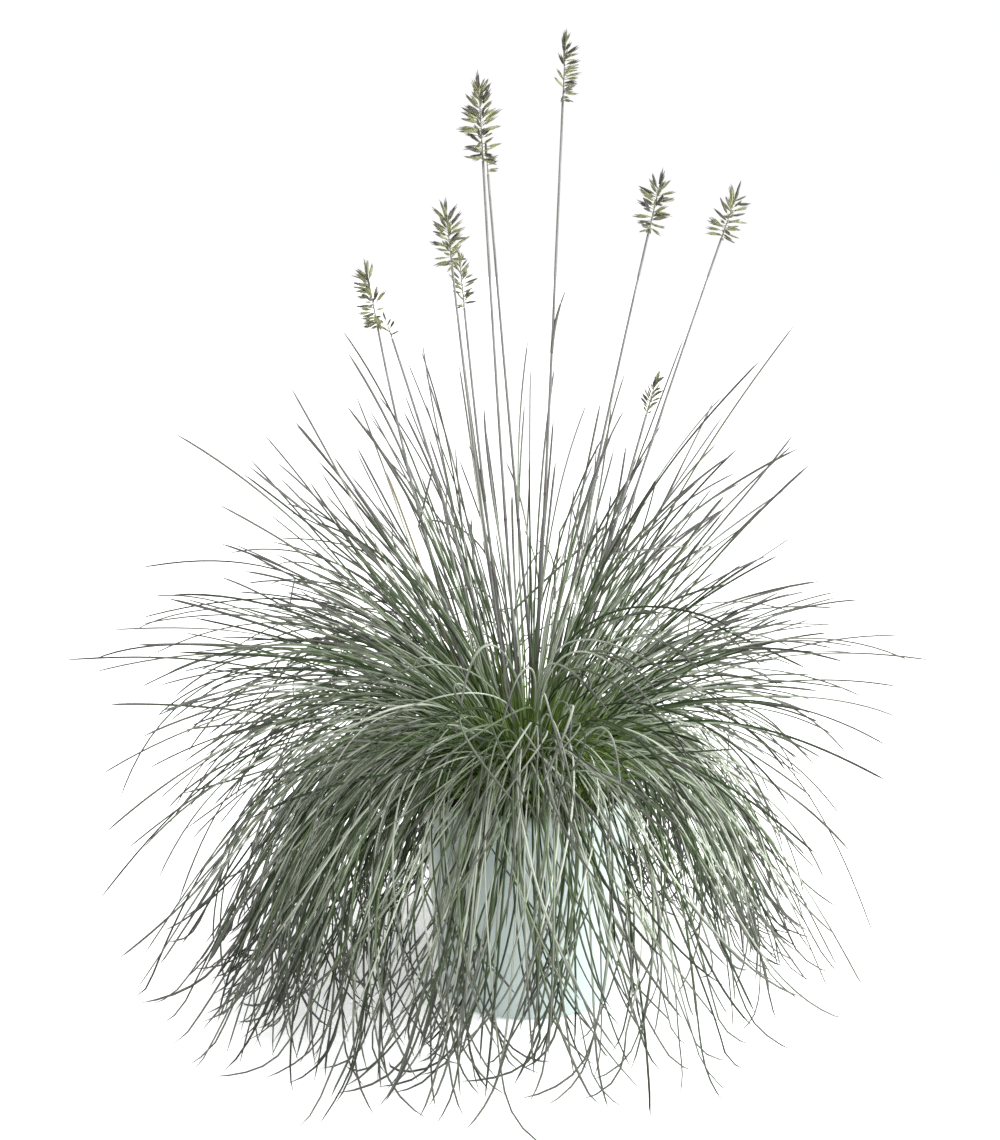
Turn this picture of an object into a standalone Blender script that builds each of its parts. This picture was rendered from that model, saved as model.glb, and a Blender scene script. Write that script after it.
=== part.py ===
"""Potted ornamental grass clump.

A smooth tapered pot holds potting soil and the low crown of a tufted grass.
Leaf tufts arch out of the crown in four tiers, and flowering culms with
loose flower heads stand above them. Lengths are in metres and +Z is up. The
origin is the centre of the pot's flat base, and the front faces -Y.
"""

import math

import bmesh
import bpy
from mathutils import Vector

# ---- driving dimensions --------------------------------------------------
POT_HEIGHT = 0.146
RIM_RADIUS = 0.075
BASE_RADIUS = 0.0615
POT_WALL = 0.0055
POT_FLOOR = 0.007
LIP_HEIGHT = 0.009
LIP_PROUD = 0.0014
BASE_ROUND = 0.0045
INNER_ROUND = 0.006
POT_SEGMENTS = 44

SOIL_BELOW_RIM = 0.010
SOIL_SEGMENTS = 30

CROWN_RADIUS = 0.046
CROWN_HEIGHT = 0.024
CROWN_SEGMENTS = 26

GAP = 0.0003
FOOT_CLEARANCE = 0.0012
FLOOR_CLEARANCE = 0.0006
LANDING_HEIGHT = 0.035
LEVEL = math.radians(90.0)

CULM_RADIUS_FOOT = 0.0011
CULM_RADIUS_TOP = 0.0007
CULM_SEGMENTS = 10
TUFT_SEGMENTS = 12

# ---- materials: base colour, roughness -----------------------------------
GLAZE = ("celadon_glaze", (0.60, 0.71, 0.66), 0.25)
SOIL = ("potting_soil", (0.045, 0.030, 0.020), 0.95)
SHEATH = ("leaf_sheaths", (0.20, 0.30, 0.07), 0.65)
BLADE = ("leaf_blades", (0.19, 0.26, 0.16), 0.55)
CULM = ("culm_stalks", (0.25, 0.29, 0.20), 0.55)
FLOWER = ("flower_heads", (0.27, 0.34, 0.20), 0.70)

# ---- leaf tiers ----------------------------------------------------------
# Each kind of tuft: foot radius on the crown, lean from the vertical at the
# foot and at the tip in degrees, how early it bends, length, and the foot,
# belly and tip radius of the bundle.
TRAIL_NEAR = (0.0385, 10, 176, 3.4, 0.345, 0.0048, 0.0180, 0.0012)
TRAIL_FAR = (0.0385, 24, 166, 2.4, 0.375, 0.0048, 0.0172, 0.0012)
MIDDLE_LOW = (0.0265, 22, 130, 1.9, 0.330, 0.0040, 0.0170, 0.0010)
MIDDLE_HIGH = (0.0265, 22, 98, 1.3, 0.318, 0.0040, 0.0180, 0.0010)
UPPER_LOW = (0.0165, 22, 66, 0.6, 0.315, 0.0030, 0.0130, 0.0008)
UPPER_MID = (0.0165, 18, 54, 0.6, 0.310, 0.0030, 0.0120, 0.0008)
UPPER_HIGH = (0.0165, 12, 38, 0.5, 0.325, 0.0030, 0.0110, 0.0008)
UPRIGHT = (0.0085, 3, 13, 0.5, 0.280, 0.0019, 0.0055, 0.0006)

# Tiers: name, kinds in turn round the crown, azimuth of the first tuft, tufts.
TIERS = (
    ("leaf_tuft_trailing", (TRAIL_NEAR, TRAIL_FAR), 0.0, 12),
    ("leaf_tuft_middle", (MIDDLE_LOW, MIDDLE_HIGH), 18.0, 10),
    ("leaf_tuft_upper", (UPPER_LOW, UPPER_HIGH, UPPER_MID), 0.0, 9),
)
UPRIGHT_AZIMUTHS = (75.0, 240.0, 285.0, 330.0)

# ---- flowering culms -----------------------------------------------------
# Foot point on the crown, point where the head begins, how far the culm bows
# outwards, head length, head radius.
CULMS = (
    ((-0.0215, 0.0000), (-0.1000, 0.0000, 0.461), 0.012, 0.041, 0.0085),
    ((-0.0080, 0.0000), (-0.0910, 0.0110, 0.452), -0.006, 0.014, 0.0035),
    ((-0.0060, -0.0030), (-0.0500, -0.0200, 0.500), 0.004, 0.036, 0.0100),
    ((-0.0060, 0.0050), (-0.0430, 0.0240, 0.472), 0.004, 0.036, 0.0085),
    ((-0.0030, -0.0005), (-0.0300, -0.0040, 0.567), 0.002, 0.053, 0.0115),
    ((0.0095, 0.0180), (-0.0270, 0.0320, 0.560), 0.002, 0.015, 0.0060),
    ((0.0030, 0.0010), (0.0220, 0.0100, 0.606), 0.001, 0.044, 0.0080),
    ((0.0065, 0.0035), (0.0810, 0.0300, 0.523), -0.004, 0.037, 0.0115),
    ((0.0140, 0.0048), (0.1315, 0.0450, 0.518), -0.004, 0.034, 0.0105),
    ((0.0130, -0.0050), (0.0760, -0.0310, 0.405), 0.000, 0.025, 0.0060),
)


def make_material(finish):
    """Return the Principled material of a finish, made once."""
    name, colour, roughness = finish
    found = bpy.data.materials.get(name)
    if found:
        return found
    material = bpy.data.materials.new(name)
    material.use_nodes = True
    shader = material.node_tree.nodes["Principled BSDF"]
    shader.inputs["Base Color"].default_value = (*colour, 1.0)
    shader.inputs["Roughness"].default_value = roughness
    shader.inputs["Metallic"].default_value = 0.0
    material.diffuse_color = (*colour, 1.0)
    return material


def place(name, data, finish):
    """Link a mesh or curve into the scene as one named piece."""
    piece = bpy.data.objects.new(name, data)
    bpy.context.scene.collection.objects.link(piece)
    data.materials.append(make_material(finish))
    return piece


def arc(centre, radius, start_degrees, end_degrees, steps):
    """Points of a circular arc in the (radius, height) plane."""
    points = []
    for step in range(steps + 1):
        turn = math.radians(start_degrees + (end_degrees - start_degrees) * step / steps)
        points.append(
            (centre[0] + radius * math.cos(turn), centre[1] + radius * math.sin(turn))
        )
    return points


def turned_piece(name, profile, segments, finish):
    """Turn a (radius, height) profile that starts and ends on the axis."""
    shape = bmesh.new()
    outline = [shape.verts.new((radius, 0.0, height)) for radius, height in profile]
    edges = [shape.edges.new(pair) for pair in zip(outline, outline[1:])]
    bmesh.ops.spin(
        shape,
        geom=outline + edges,
        cent=(0.0, 0.0, 0.0),
        axis=(0.0, 0.0, 1.0),
        angle=math.tau,
        steps=segments,
        use_merge=True,
    )
    bmesh.ops.remove_doubles(shape, verts=shape.verts[:], dist=1e-6)
    bmesh.ops.recalc_face_normals(shape, faces=shape.faces[:])
    mesh = bpy.data.meshes.new(name)
    shape.to_mesh(mesh)
    shape.free()
    mesh.shade_smooth()
    mesh.set_sharp_from_angle(angle=math.radians(40.0))
    return place(name, mesh, finish)


def swept_piece(name, spine, radii, finish, sides_step=1):
    """Sweep a round section of changing radius along a spine, capped."""
    curve = bpy.data.curves.new(name, "CURVE")
    curve.dimensions = "3D"
    curve.twist_mode = "MINIMUM"
    curve.bevel_depth = 0.001
    curve.bevel_resolution = sides_step
    curve.use_fill_caps = True
    spline = curve.splines.new("POLY")
    spline.points.add(len(spine) - 1)
    for point, place_at, radius in zip(spline.points, spine, radii):
        point.co = (*place_at, 1.0)
        point.radius = radius / curve.bevel_depth
    spline.use_smooth = True
    return place(name, curve, finish)


# ---- pot, soil and crown -------------------------------------------------
def wall_radius(height):
    """Outer radius of the tapered pot wall below the lip."""
    top = RIM_RADIUS - LIP_PROUD
    return BASE_RADIUS + (top - BASE_RADIUS) * height / POT_HEIGHT


def make_pot():
    """One turned piece: tapered wall, rounded foot, slim lip, open top."""
    lip_half = (RIM_RADIUS - (wall_radius(POT_HEIGHT) - POT_WALL)) / 2.0
    lip_middle = RIM_RADIUS - lip_half
    lip_under = POT_HEIGHT - LIP_HEIGHT
    inner_foot = wall_radius(POT_FLOOR) - POT_WALL
    profile = [(0.0, 0.0)]
    profile += arc(
        (wall_radius(BASE_ROUND) - BASE_ROUND, BASE_ROUND), BASE_ROUND, -90, 0, 3
    )
    profile += [
        (wall_radius(lip_under), lip_under),
        (RIM_RADIUS, lip_under + LIP_PROUD),
    ]
    profile += arc((lip_middle, POT_HEIGHT - lip_half), lip_half, 0, 180, 6)
    profile += arc(
        (inner_foot - INNER_ROUND, POT_FLOOR + INNER_ROUND), INNER_ROUND, 0, -90, 3
    )
    profile += [(0.0, POT_FLOOR)]
    return turned_piece("pot", profile, POT_SEGMENTS, GLAZE)


def soil_level():
    """Height of the soil's flat top."""
    return POT_HEIGHT - SOIL_BELOW_RIM


def make_soil():
    """The plug of potting soil, clear of the pot all round."""
    foot = POT_FLOOR + GAP
    shoulder = foot + INNER_ROUND
    clear = POT_WALL + 3.0 * GAP
    profile = [
        (0.0, foot),
        (wall_radius(foot) - clear - INNER_ROUND, foot),
        (wall_radius(shoulder) - clear, shoulder),
        (wall_radius(soil_level()) - clear, soil_level()),
        (0.0, soil_level()),
    ]
    return turned_piece("potting_soil", profile, SOIL_SEGMENTS, SOIL)


def crown_top(radius):
    """Height of the crown's domed surface at a distance from the axis."""
    share = min(radius / CROWN_RADIUS, 1.0)
    return soil_level() + GAP + CROWN_HEIGHT * math.sqrt(1.0 - share * share)


def make_crown():
    """The tussock of packed leaf sheaths that the tufts grow from."""
    foot = soil_level() + GAP
    profile = [(0.0, foot)]
    steps = 6
    for step in range(steps + 1):
        turn = math.radians(90.0 * step / steps)
        profile.append(
            (CROWN_RADIUS * math.cos(turn), foot + CROWN_HEIGHT * math.sin(turn))
        )
    profile[-1] = (0.0, foot + CROWN_HEIGHT)
    return turned_piece("crown", profile, CROWN_SEGMENTS, SHEATH)


# ---- leaf tufts ----------------------------------------------------------
def tuft_radius(share, foot, belly, tip):
    """Section radius along a tuft: slim foot, full belly, fine tip."""
    swell = math.sin(math.pi * share**0.9) ** 2
    return (foot + (tip - foot) * share) * (1.0 - swell) + belly * swell


def tuft_lean(share, lean_foot, lean_tip, bend):
    """Lean from the vertical along a tuft, most of the turn near the foot."""
    turned = (1.0 - math.exp(-bend * share)) / (1.0 - math.exp(-bend))
    return math.radians(lean_foot + (lean_tip - lean_foot) * turned)


def make_tuft(name, kind, azimuth_degrees):
    """A tapering bundle of blades that leaves the crown and arches over."""
    foot_radius, lean_foot, lean_tip, bend, length, foot, belly, tip = kind
    azimuth = math.radians(azimuth_degrees)
    outward = Vector((math.cos(azimuth), math.sin(azimuth), 0.0))
    distance = foot_radius
    height = crown_top(foot_radius) + FOOT_CLEARANCE
    step_length = length / TUFT_SEGMENTS
    spine = []
    radii = []
    for step in range(TUFT_SEGMENTS + 1):
        share = step / TUFT_SEGMENTS
        radius = tuft_radius(share, foot, belly, tip)
        lowest = radius + FLOOR_CLEARANCE
        height = max(height, lowest)
        spine.append(outward * distance + Vector((0.0, 0.0, height)))
        radii.append(radius)
        lean = tuft_lean((step + 0.5) / TUFT_SEGMENTS, lean_foot, lean_tip, bend)
        if lean > LEVEL:
            landing = min((height - lowest) / LANDING_HEIGHT, 1.0)
            lean = LEVEL + (lean - LEVEL) * landing
        distance += step_length * math.sin(lean)
        height += step_length * math.cos(lean)
    return swept_piece(name, spine, radii, BLADE)


def make_tufts():
    """Every tier of tufts round the crown, each tuft its own piece."""
    for tier_name, kinds, first_azimuth, count in TIERS:
        for index in range(count):
            azimuth = first_azimuth + 360.0 * index / count
            make_tuft(f"{tier_name}_{index + 1:02d}", kinds[index % len(kinds)], azimuth)
    for index, azimuth in enumerate(UPRIGHT_AZIMUTHS):
        make_tuft(f"leaf_tuft_upright_{index + 1:02d}", UPRIGHT, azimuth)


# ---- culms and flower heads ----------------------------------------------
def culm_point(foot, control, top, share):
    """A point on the culm's smooth bow from foot to top."""
    rest = 1.0 - share
    return foot * rest * rest + control * (2.0 * rest * share) + top * share * share


def make_culm(index, foot_xy, head_at, bow, head_length, head_radius):
    """One flowering culm and the flower head that it carries."""
    foot_height = crown_top(math.hypot(*foot_xy)) + FOOT_CLEARANCE
    foot = Vector((*foot_xy, foot_height))
    top = Vector(head_at)
    outward = Vector((top.x, top.y, 0.0)).normalized()
    control = (foot + top) / 2.0 + outward * bow
    spine = []
    radii = []
    for step in range(CULM_SEGMENTS + 1):
        share = step / CULM_SEGMENTS
        spine.append(culm_point(foot, control, top, share))
        radii.append(CULM_RADIUS_FOOT + (CULM_RADIUS_TOP - CULM_RADIUS_FOOT) * share)
    swept_piece(f"culm_{index:02d}", spine, radii, CULM, sides_step=0)

    along = (top - control).normalized()
    head_foot = top + along * 2.0 * GAP
    head_spine = []
    head_radii = []
    steps = 8
    for step in range(steps + 1):
        share = step / steps
        head_spine.append(head_foot + along * head_length * share)
        swell = math.sin(math.pi * (0.04 + 0.92 * share) ** 0.85)
        head_radii.append(max(head_radius * swell, CULM_RADIUS_TOP))
    swept_piece(f"flower_head_{index:02d}", head_spine, head_radii, FLOWER)


def make_culms():
    """All flowering culms with their heads."""
    for index, (foot_xy, head_at, bow, head_length, head_radius) in enumerate(CULMS, 1):
        make_culm(index, foot_xy, head_at, bow, head_length, head_radius)


def main():
    """Clear the scene and build the whole clump."""
    for old in list(bpy.data.objects):
        bpy.data.objects.remove(old, do_unlink=True)
    make_pot()
    make_soil()
    make_crown()
    make_tufts()
    make_culms()


main()
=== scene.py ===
"""Potted ornamental grass clump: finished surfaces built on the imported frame."""
import logging
import math
from dataclasses import dataclass, field
from enum import Enum
from typing import Callable, Iterable

import bmesh
import bpy
import numpy as np
from mathutils import Euler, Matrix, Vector


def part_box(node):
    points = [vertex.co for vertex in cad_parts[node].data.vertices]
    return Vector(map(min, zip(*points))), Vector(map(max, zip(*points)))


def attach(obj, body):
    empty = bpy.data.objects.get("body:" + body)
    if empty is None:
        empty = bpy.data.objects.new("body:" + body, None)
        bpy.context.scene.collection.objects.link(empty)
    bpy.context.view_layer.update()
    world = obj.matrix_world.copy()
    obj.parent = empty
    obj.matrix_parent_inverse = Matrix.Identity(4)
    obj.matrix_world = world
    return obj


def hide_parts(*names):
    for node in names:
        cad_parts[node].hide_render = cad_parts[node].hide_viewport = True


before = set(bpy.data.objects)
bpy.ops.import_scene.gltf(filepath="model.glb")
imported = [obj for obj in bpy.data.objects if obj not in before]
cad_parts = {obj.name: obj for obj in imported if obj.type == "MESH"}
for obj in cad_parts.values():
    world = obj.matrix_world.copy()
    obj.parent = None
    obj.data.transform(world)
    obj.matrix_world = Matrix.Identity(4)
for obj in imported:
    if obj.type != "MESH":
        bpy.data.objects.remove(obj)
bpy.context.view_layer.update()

log = logging.getLogger("grass_clump")

ROOT = "root"
BAKE_MAP = "OFBake"
TONE_LAYER = "blade_tone"
GOLDEN_TURN = math.pi * (3.0 - math.sqrt(5.0))

Array = np.ndarray
Colour = tuple[float, float, float]
Socket = bpy.types.NodeSocket


class Tier(Enum):
    """The tiers of leaf tufts, by the name that their nodes start with."""

    TRAILING = "leaf_tuft_trailing"
    MIDDLE = "leaf_tuft_middle"
    UPPER = "leaf_tuft_upper"
    UPRIGHT = "leaf_tuft_upright"


class Slot(Enum):
    """The material slots that pieces take their finish from."""

    GLAZE = "pot_glaze"
    SOIL = "potting_soil"
    SHEATH = "leaf_sheaths"
    BLADE = "leaf_blades"
    CULM = "culm_stalks"
    FLOWER = "flower_heads"


# ---------------------------------------------------------------------------
# Shader graphs
# ---------------------------------------------------------------------------
class Graph:
    """Adds nodes to one node tree and links what it is given."""

    def __init__(self, tree: bpy.types.NodeTree) -> None:
        """Takes the tree that the nodes go into."""
        self.tree = tree

    def add(self, kind: str, inputs: dict[int | str, object] | None = None,
            **settings: object) -> bpy.types.Node:
        """Adds one node.

        Args:
            kind: The node's type name.
            inputs: Socket name or index to a value, or to a socket to link from.
            settings: Properties that are set on the node itself.

        Returns:
            The new node.
        """
        node = self.tree.nodes.new(kind)
        for name, value in settings.items():
            setattr(node, name, value)
        for key, value in (inputs or {}).items():
            if isinstance(value, Socket):
                self.tree.links.new(value, node.inputs[key])
            else:
                node.inputs[key].default_value = value
        return node

    def noise(self, vector: Socket, scale: float, detail: float = 3.0,
              roughness: float = 0.5) -> Socket:
        """Adds a noise texture and returns its value."""
        inputs = {"Vector": vector, "Scale": scale, "Detail": detail, "Roughness": roughness}
        return self.add("ShaderNodeTexNoise", inputs).outputs["Fac"]

    def math(self, operation: str, *values: Socket | float) -> Socket:
        """Adds a Math node on the values and returns its result."""
        inputs = dict(enumerate(values))
        return self.add("ShaderNodeMath", inputs, operation=operation).outputs[0]

    def span(self, value: Socket, low: float, high: float,
             to_low: float = 0.0, to_high: float = 1.0) -> Socket:
        """Maps a value from one range to another, clamped, and returns it."""
        inputs = {"Value": value, "From Min": low, "From Max": high,
                  "To Min": to_low, "To Max": to_high}
        return self.add("ShaderNodeMapRange", inputs, clamp=True).outputs["Result"]

    def mix(self, factor: Socket | float, first: Socket | Colour, second: Socket | Colour,
            blend: str = "MIX") -> Socket:
        """Mixes two colours and returns the result."""
        inputs = {0: factor, 6: as_rgba(first), 7: as_rgba(second)}
        return self.add("ShaderNodeMix", inputs, data_type="RGBA", blend_type=blend).outputs[2]

    def ramp(self, factor: Socket, stops: Iterable[tuple[float, Colour]]) -> Socket:
        """Adds a colour ramp.

        Args:
            factor: The value that runs along the ramp.
            stops: Position and colour of each stop.

        Returns:
            The ramp's colour.
        """
        node = self.add("ShaderNodeValToRGB", {"Fac": factor})
        elements = node.color_ramp.elements
        stops = list(stops)
        while len(elements) < len(stops):
            elements.new(0.5)
        for element, (position, colour) in zip(elements, stops):
            element.position = position
            element.color = (*colour, 1.0)
        return node.outputs["Color"]

    def group(self, tree: bpy.types.NodeTree, inputs: dict[str, object]) -> bpy.types.Node:
        """Places a shared node group with its own values."""
        return self.add("ShaderNodeGroup", inputs, node_tree=tree)

    def finish(self, shader: bpy.types.Node, colour: Socket, rough: Socket,
               bump: bpy.types.Node) -> None:
        """Links a colour, a roughness and a bump to a shader.

        Args:
            shader: The Principled shader.
            colour: Its base colour.
            rough: Its roughness.
            bump: The bump node for its normal.
        """
        for value, name in ((colour, "Base Color"), (rough, "Roughness"),
                            (bump.outputs[0], "Normal")):
            self.tree.links.new(value, shader.inputs[name])


def as_rgba(colour: Socket | Colour) -> Socket | tuple[float, ...]:
    """Returns a colour as RGBA, and a socket as it is."""
    return colour if isinstance(colour, Socket) else (*colour, 1.0)


def shared_group(name: str, sockets: list[tuple[str, str, str, float | None]]
                 ) -> tuple[bpy.types.NodeTree, bpy.types.Node, bpy.types.Node]:
    """Starts a shader node group.

    Args:
        name: The group's name.
        sockets: Name, IN or OUT, socket type and default value of each socket.

    Returns:
        The group's tree, its input node and its output node.
    """
    tree = bpy.data.node_groups.new(name, "ShaderNodeTree")
    for label, side, kind, value in sockets:
        socket = tree.interface.new_socket(
            label, in_out="INPUT" if side == "IN" else "OUTPUT", socket_type=kind)
        if value is not None:
            socket.default_value = value
    return tree, tree.nodes.new("NodeGroupInput"), tree.nodes.new("NodeGroupOutput")


class SharedEffects:
    """The node groups that more than one finish uses, each built once."""

    def __init__(self) -> None:
        """Builds both groups."""
        self.mottle = self.build_mottle()
        self.fibre = self.build_fibre()

    @staticmethod
    def build_mottle() -> bpy.types.NodeTree:
        """Builds soft patches at two scales as a mask.

        Returns:
            The group's tree, whose mask runs from 0 to 1.
        """
        tree, source, sink = shared_group("soft_mottle", [
            ("Vector", "IN", "NodeSocketVector", None),
            ("Scale", "IN", "NodeSocketFloat", 20.0),
            ("Contrast", "IN", "NodeSocketFloat", 1.0),
            ("Mask", "OUT", "NodeSocketFloat", None),
        ])
        graph = Graph(tree)
        broad = graph.noise(source.outputs["Vector"], 1.0)
        broad.node.inputs["Detail"].default_value = 2.0
        tree.links.new(source.outputs["Scale"], broad.node.inputs["Scale"])
        fine_scale = graph.math("MULTIPLY", source.outputs["Scale"], 6.3)
        fine = graph.noise(source.outputs["Vector"], 1.0, 4.0, 0.6)
        tree.links.new(fine_scale, fine.node.inputs["Scale"])
        both = graph.math("ADD", broad, graph.math("MULTIPLY", fine, 0.4))
        centred = graph.math("SUBTRACT", both, 0.7)
        stretched = graph.math("MULTIPLY", centred, source.outputs["Contrast"])
        lifted = graph.add("ShaderNodeMath", {0: stretched, 1: 0.5},
                           operation="ADD", use_clamp=True).outputs[0]
        tree.links.new(lifted, sink.inputs["Mask"])
        return tree

    @staticmethod
    def build_fibre() -> bpy.types.NodeTree:
        """Builds fine veins that run along a blade, from its map.

        Returns:
            The group's tree, whose output is a height.
        """
        tree, source, sink = shared_group("lengthwise_fibre", [
            ("Vector", "IN", "NodeSocketVector", None),
            ("Across", "IN", "NodeSocketFloat", 900.0),
            ("Along", "IN", "NodeSocketFloat", 6.0),
            ("Height", "OUT", "NodeSocketFloat", None),
        ])
        graph = Graph(tree)
        parts = graph.add("ShaderNodeSeparateXYZ", {0: source.outputs["Vector"]})
        across = graph.math("MULTIPLY", parts.outputs["X"], source.outputs["Across"])
        along = graph.math("MULTIPLY", parts.outputs["Y"], source.outputs["Along"])
        joined = graph.add("ShaderNodeCombineXYZ", {"X": across, "Y": along})
        vein = graph.noise(joined.outputs[0], 1.0, 2.0, 0.6)
        tree.links.new(vein, sink.inputs["Height"])
        return tree


EFFECTS = SharedEffects()


def new_material(name: str) -> tuple[bpy.types.Material, Graph, bpy.types.Node]:
    """Starts a node material.

    Args:
        name: The material's name.

    Returns:
        The material, a graph on its tree, and its Principled shader.
    """
    material = bpy.data.materials.new(name)
    material.use_nodes = True
    shader = material.node_tree.nodes["Principled BSDF"]
    return material, Graph(material.node_tree), shader


# ---------------------------------------------------------------------------
# Finishes
# ---------------------------------------------------------------------------
@dataclass(frozen=True)
class CeladonGlaze:
    """A smooth pale green glaze over a fine clay body."""

    thin: Colour = (0.45, 0.525, 0.510)
    darker_glaze: Colour = (0.37, 0.45, 0.43)
    speck: Colour = (0.36, 0.44, 0.39)
    roughness: float = 0.24

    def build(self) -> bpy.types.Material:
        """Makes the glaze: a darker tone in patches and towards the foot, faint specks and a soft
        ripple.

        Returns:
            The material.
        """
        material, graph, shader = new_material("celadon_glaze")
        place = graph.add("ShaderNodeTexCoord").outputs["Object"]
        patches = graph.group(EFFECTS.mottle, {"Vector": place, "Scale": 14.0, "Contrast": 1.2})
        height = graph.add("ShaderNodeSeparateXYZ", {0: place}).outputs["Z"]
        # Darker towards the foot, over the lowest 2 cm of the pot.
        foot = graph.span(height, 0.0, 0.02, 0.35, 0.0)
        amount = graph.math("ADD", patches.outputs["Mask"], foot)
        colour = graph.mix(amount, self.thin, self.darker_glaze)
        specks = graph.span(graph.noise(place, 620.0, 1.0), 0.70, 0.78, 0.0, 0.45)
        colour = graph.mix(specks, colour, self.speck)
        ripple = graph.noise(place, 38.0, 2.0, 0.4)
        bump = graph.add("ShaderNodeBump", {"Strength": 0.05, "Distance": 0.002,
                                            "Height": ripple})
        rough = graph.span(patches.outputs["Mask"], 0.0, 1.0,
                           self.roughness, self.roughness + 0.10)
        graph.finish(shader, colour, rough, bump)
        shader.inputs["Coat Weight"].default_value = 0.35
        shader.inputs["Coat Roughness"].default_value = 0.10
        shader.inputs["IOR"].default_value = 1.5
        return material


@dataclass(frozen=True)
class PeatMix:
    """Dark moist potting soil with bark and pale mineral grains."""

    name: str = "peat_mix"
    dark: Colour = (0.018, 0.012, 0.008)
    warm: Colour = (0.085, 0.050, 0.028)
    pale: Colour = (0.34, 0.30, 0.24)

    def build(self) -> bpy.types.Material:
        """Makes the soil: crumbs in browns, with a rough bump.

        Returns:
            The material.
        """
        material, graph, shader = new_material(self.name)
        place = graph.add("ShaderNodeTexCoord").outputs["Object"]
        crumbs = graph.group(EFFECTS.mottle, {"Vector": place, "Scale": 120.0, "Contrast": 2.4})
        colour = graph.mix(crumbs.outputs["Mask"], self.dark, self.warm)
        grains = graph.span(graph.noise(place, 900.0, 1.0), 0.70, 0.74)
        colour = graph.mix(grains, colour, self.pale)
        rough = graph.span(crumbs.outputs["Mask"], 0.0, 1.0, 0.82, 0.97)
        bump = graph.add("ShaderNodeBump", {"Strength": 0.6, "Distance": 0.001,
                                            "Height": graph.noise(place, 700.0, 5.0, 0.65)})
        graph.finish(shader, colour, rough, bump)
        return material


@dataclass(frozen=True)
class LeafTissue:
    """A leaf surface whose colour runs from foot to tip, blade by blade."""

    name: str
    foot: Colour
    low: Colour
    middle: Colour
    # bloom_and_highlight is the pale glaucous bloom colour, and also the painted highlight on the
    # arching middle of pale blades.
    bloom_and_highlight: Colour
    tip: Colour
    mauve: Colour = (0.132, 0.119, 0.128)
    dark_low: Colour = (0.012, 0.028, 0.005)
    dark_high: Colour = (0.011, 0.012, 0.009)
    dry: Colour = (0.21, 0.18, 0.11)
    roughness: float = 0.40

    def build(self) -> bpy.types.Material:
        """Makes the leaf: tones along the blade with painted highlight and shade, veins and a
        glaucous bloom.

        Returns:
            The material.
        """
        material, graph, shader = new_material(self.name)
        tone = graph.add("ShaderNodeAttribute", attribute_name=TONE_LAYER)
        parts = graph.add("ShaderNodeSeparateColor", {0: tone.outputs["Color"]})
        along, tint, dryness = (parts.outputs[key] for key in ("Red", "Green", "Blue"))
        blade_map = graph.add("ShaderNodeUVMap", uv_map=BAKE_MAP).outputs["UV"]
        place = graph.add("ShaderNodeTexCoord").outputs["Object"]
        # The pale ramp carries a painted highlight from 0.31 to 0.60 of the blade's length, where
        # blades arch over towards the light.
        pale = graph.ramp(along, [(0.0, self.foot), (0.15, self.low), (0.31, self.bloom_and_highlight),
                                  (0.60, self.bloom_and_highlight), (0.84, self.tip)])
        plain = graph.ramp(along, [(0.0, self.foot), (0.19, self.low), (0.37, self.middle),
                                   (0.62, self.middle), (0.88, self.tip)])
        deep = graph.ramp(along, [(0.0, self.foot), (0.17, self.low), (0.34, self.dark_low),
                                  (0.70, self.dark_low), (0.96, self.dark_high)])
        # The tint picks per blade between the ramps. This is partly random tone and partly painted
        # light: pale blades are lit copies with a painted highlight, and deep blades are shaded
        # copies in painted shade.
        colour = graph.mix(graph.span(tint, 0.15, 0.47), pale, plain)
        colour = graph.mix(graph.span(tint, 0.56, 0.86), colour, deep)
        fibre = graph.group(EFFECTS.fibre, {"Vector": blade_map, "Across": 900.0, "Along": 5.0})
        streak = graph.span(fibre.outputs["Height"], 0.30, 0.70, 0.84, 1.14)
        shade = graph.add("ShaderNodeCombineColor", {"Red": streak, "Green": streak,
                                                     "Blue": streak}).outputs[0]
        colour = graph.mix(1.0, colour, shade, "MULTIPLY")
        bloom = graph.group(EFFECTS.mottle, {"Vector": place, "Scale": 40.0, "Contrast": 1.8})
        bloom_amount = graph.math("MULTIPLY", bloom.outputs["Mask"],
                                  graph.span(along, 0.15, 0.5, 0.0, 0.045))
        colour = graph.mix(bloom_amount, colour, self.bloom_and_highlight)
        flushed = graph.math("MULTIPLY", graph.span(dryness, 0.45, 0.85, 0.0, 0.60),
                             graph.span(along, 0.55, 0.88))
        colour = graph.mix(flushed, colour, self.mauve)
        browned = graph.span(dryness, 0.995, 0.998)
        colour = graph.mix(browned, colour, self.dry)
        rough = graph.span(bloom.outputs["Mask"], 0.0, 1.0, self.roughness,
                           self.roughness + 0.16)
        bump = graph.add("ShaderNodeBump", {"Strength": 0.25, "Distance": 0.0003,
                                            "Height": fibre.outputs["Height"]})
        graph.finish(shader, colour, rough, bump)
        shader.inputs["Coat Weight"].default_value = 0.04
        shader.inputs["Coat Roughness"].default_value = 0.25
        shader.inputs["Specular IOR Level"].default_value = 0.18
        return material


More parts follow.
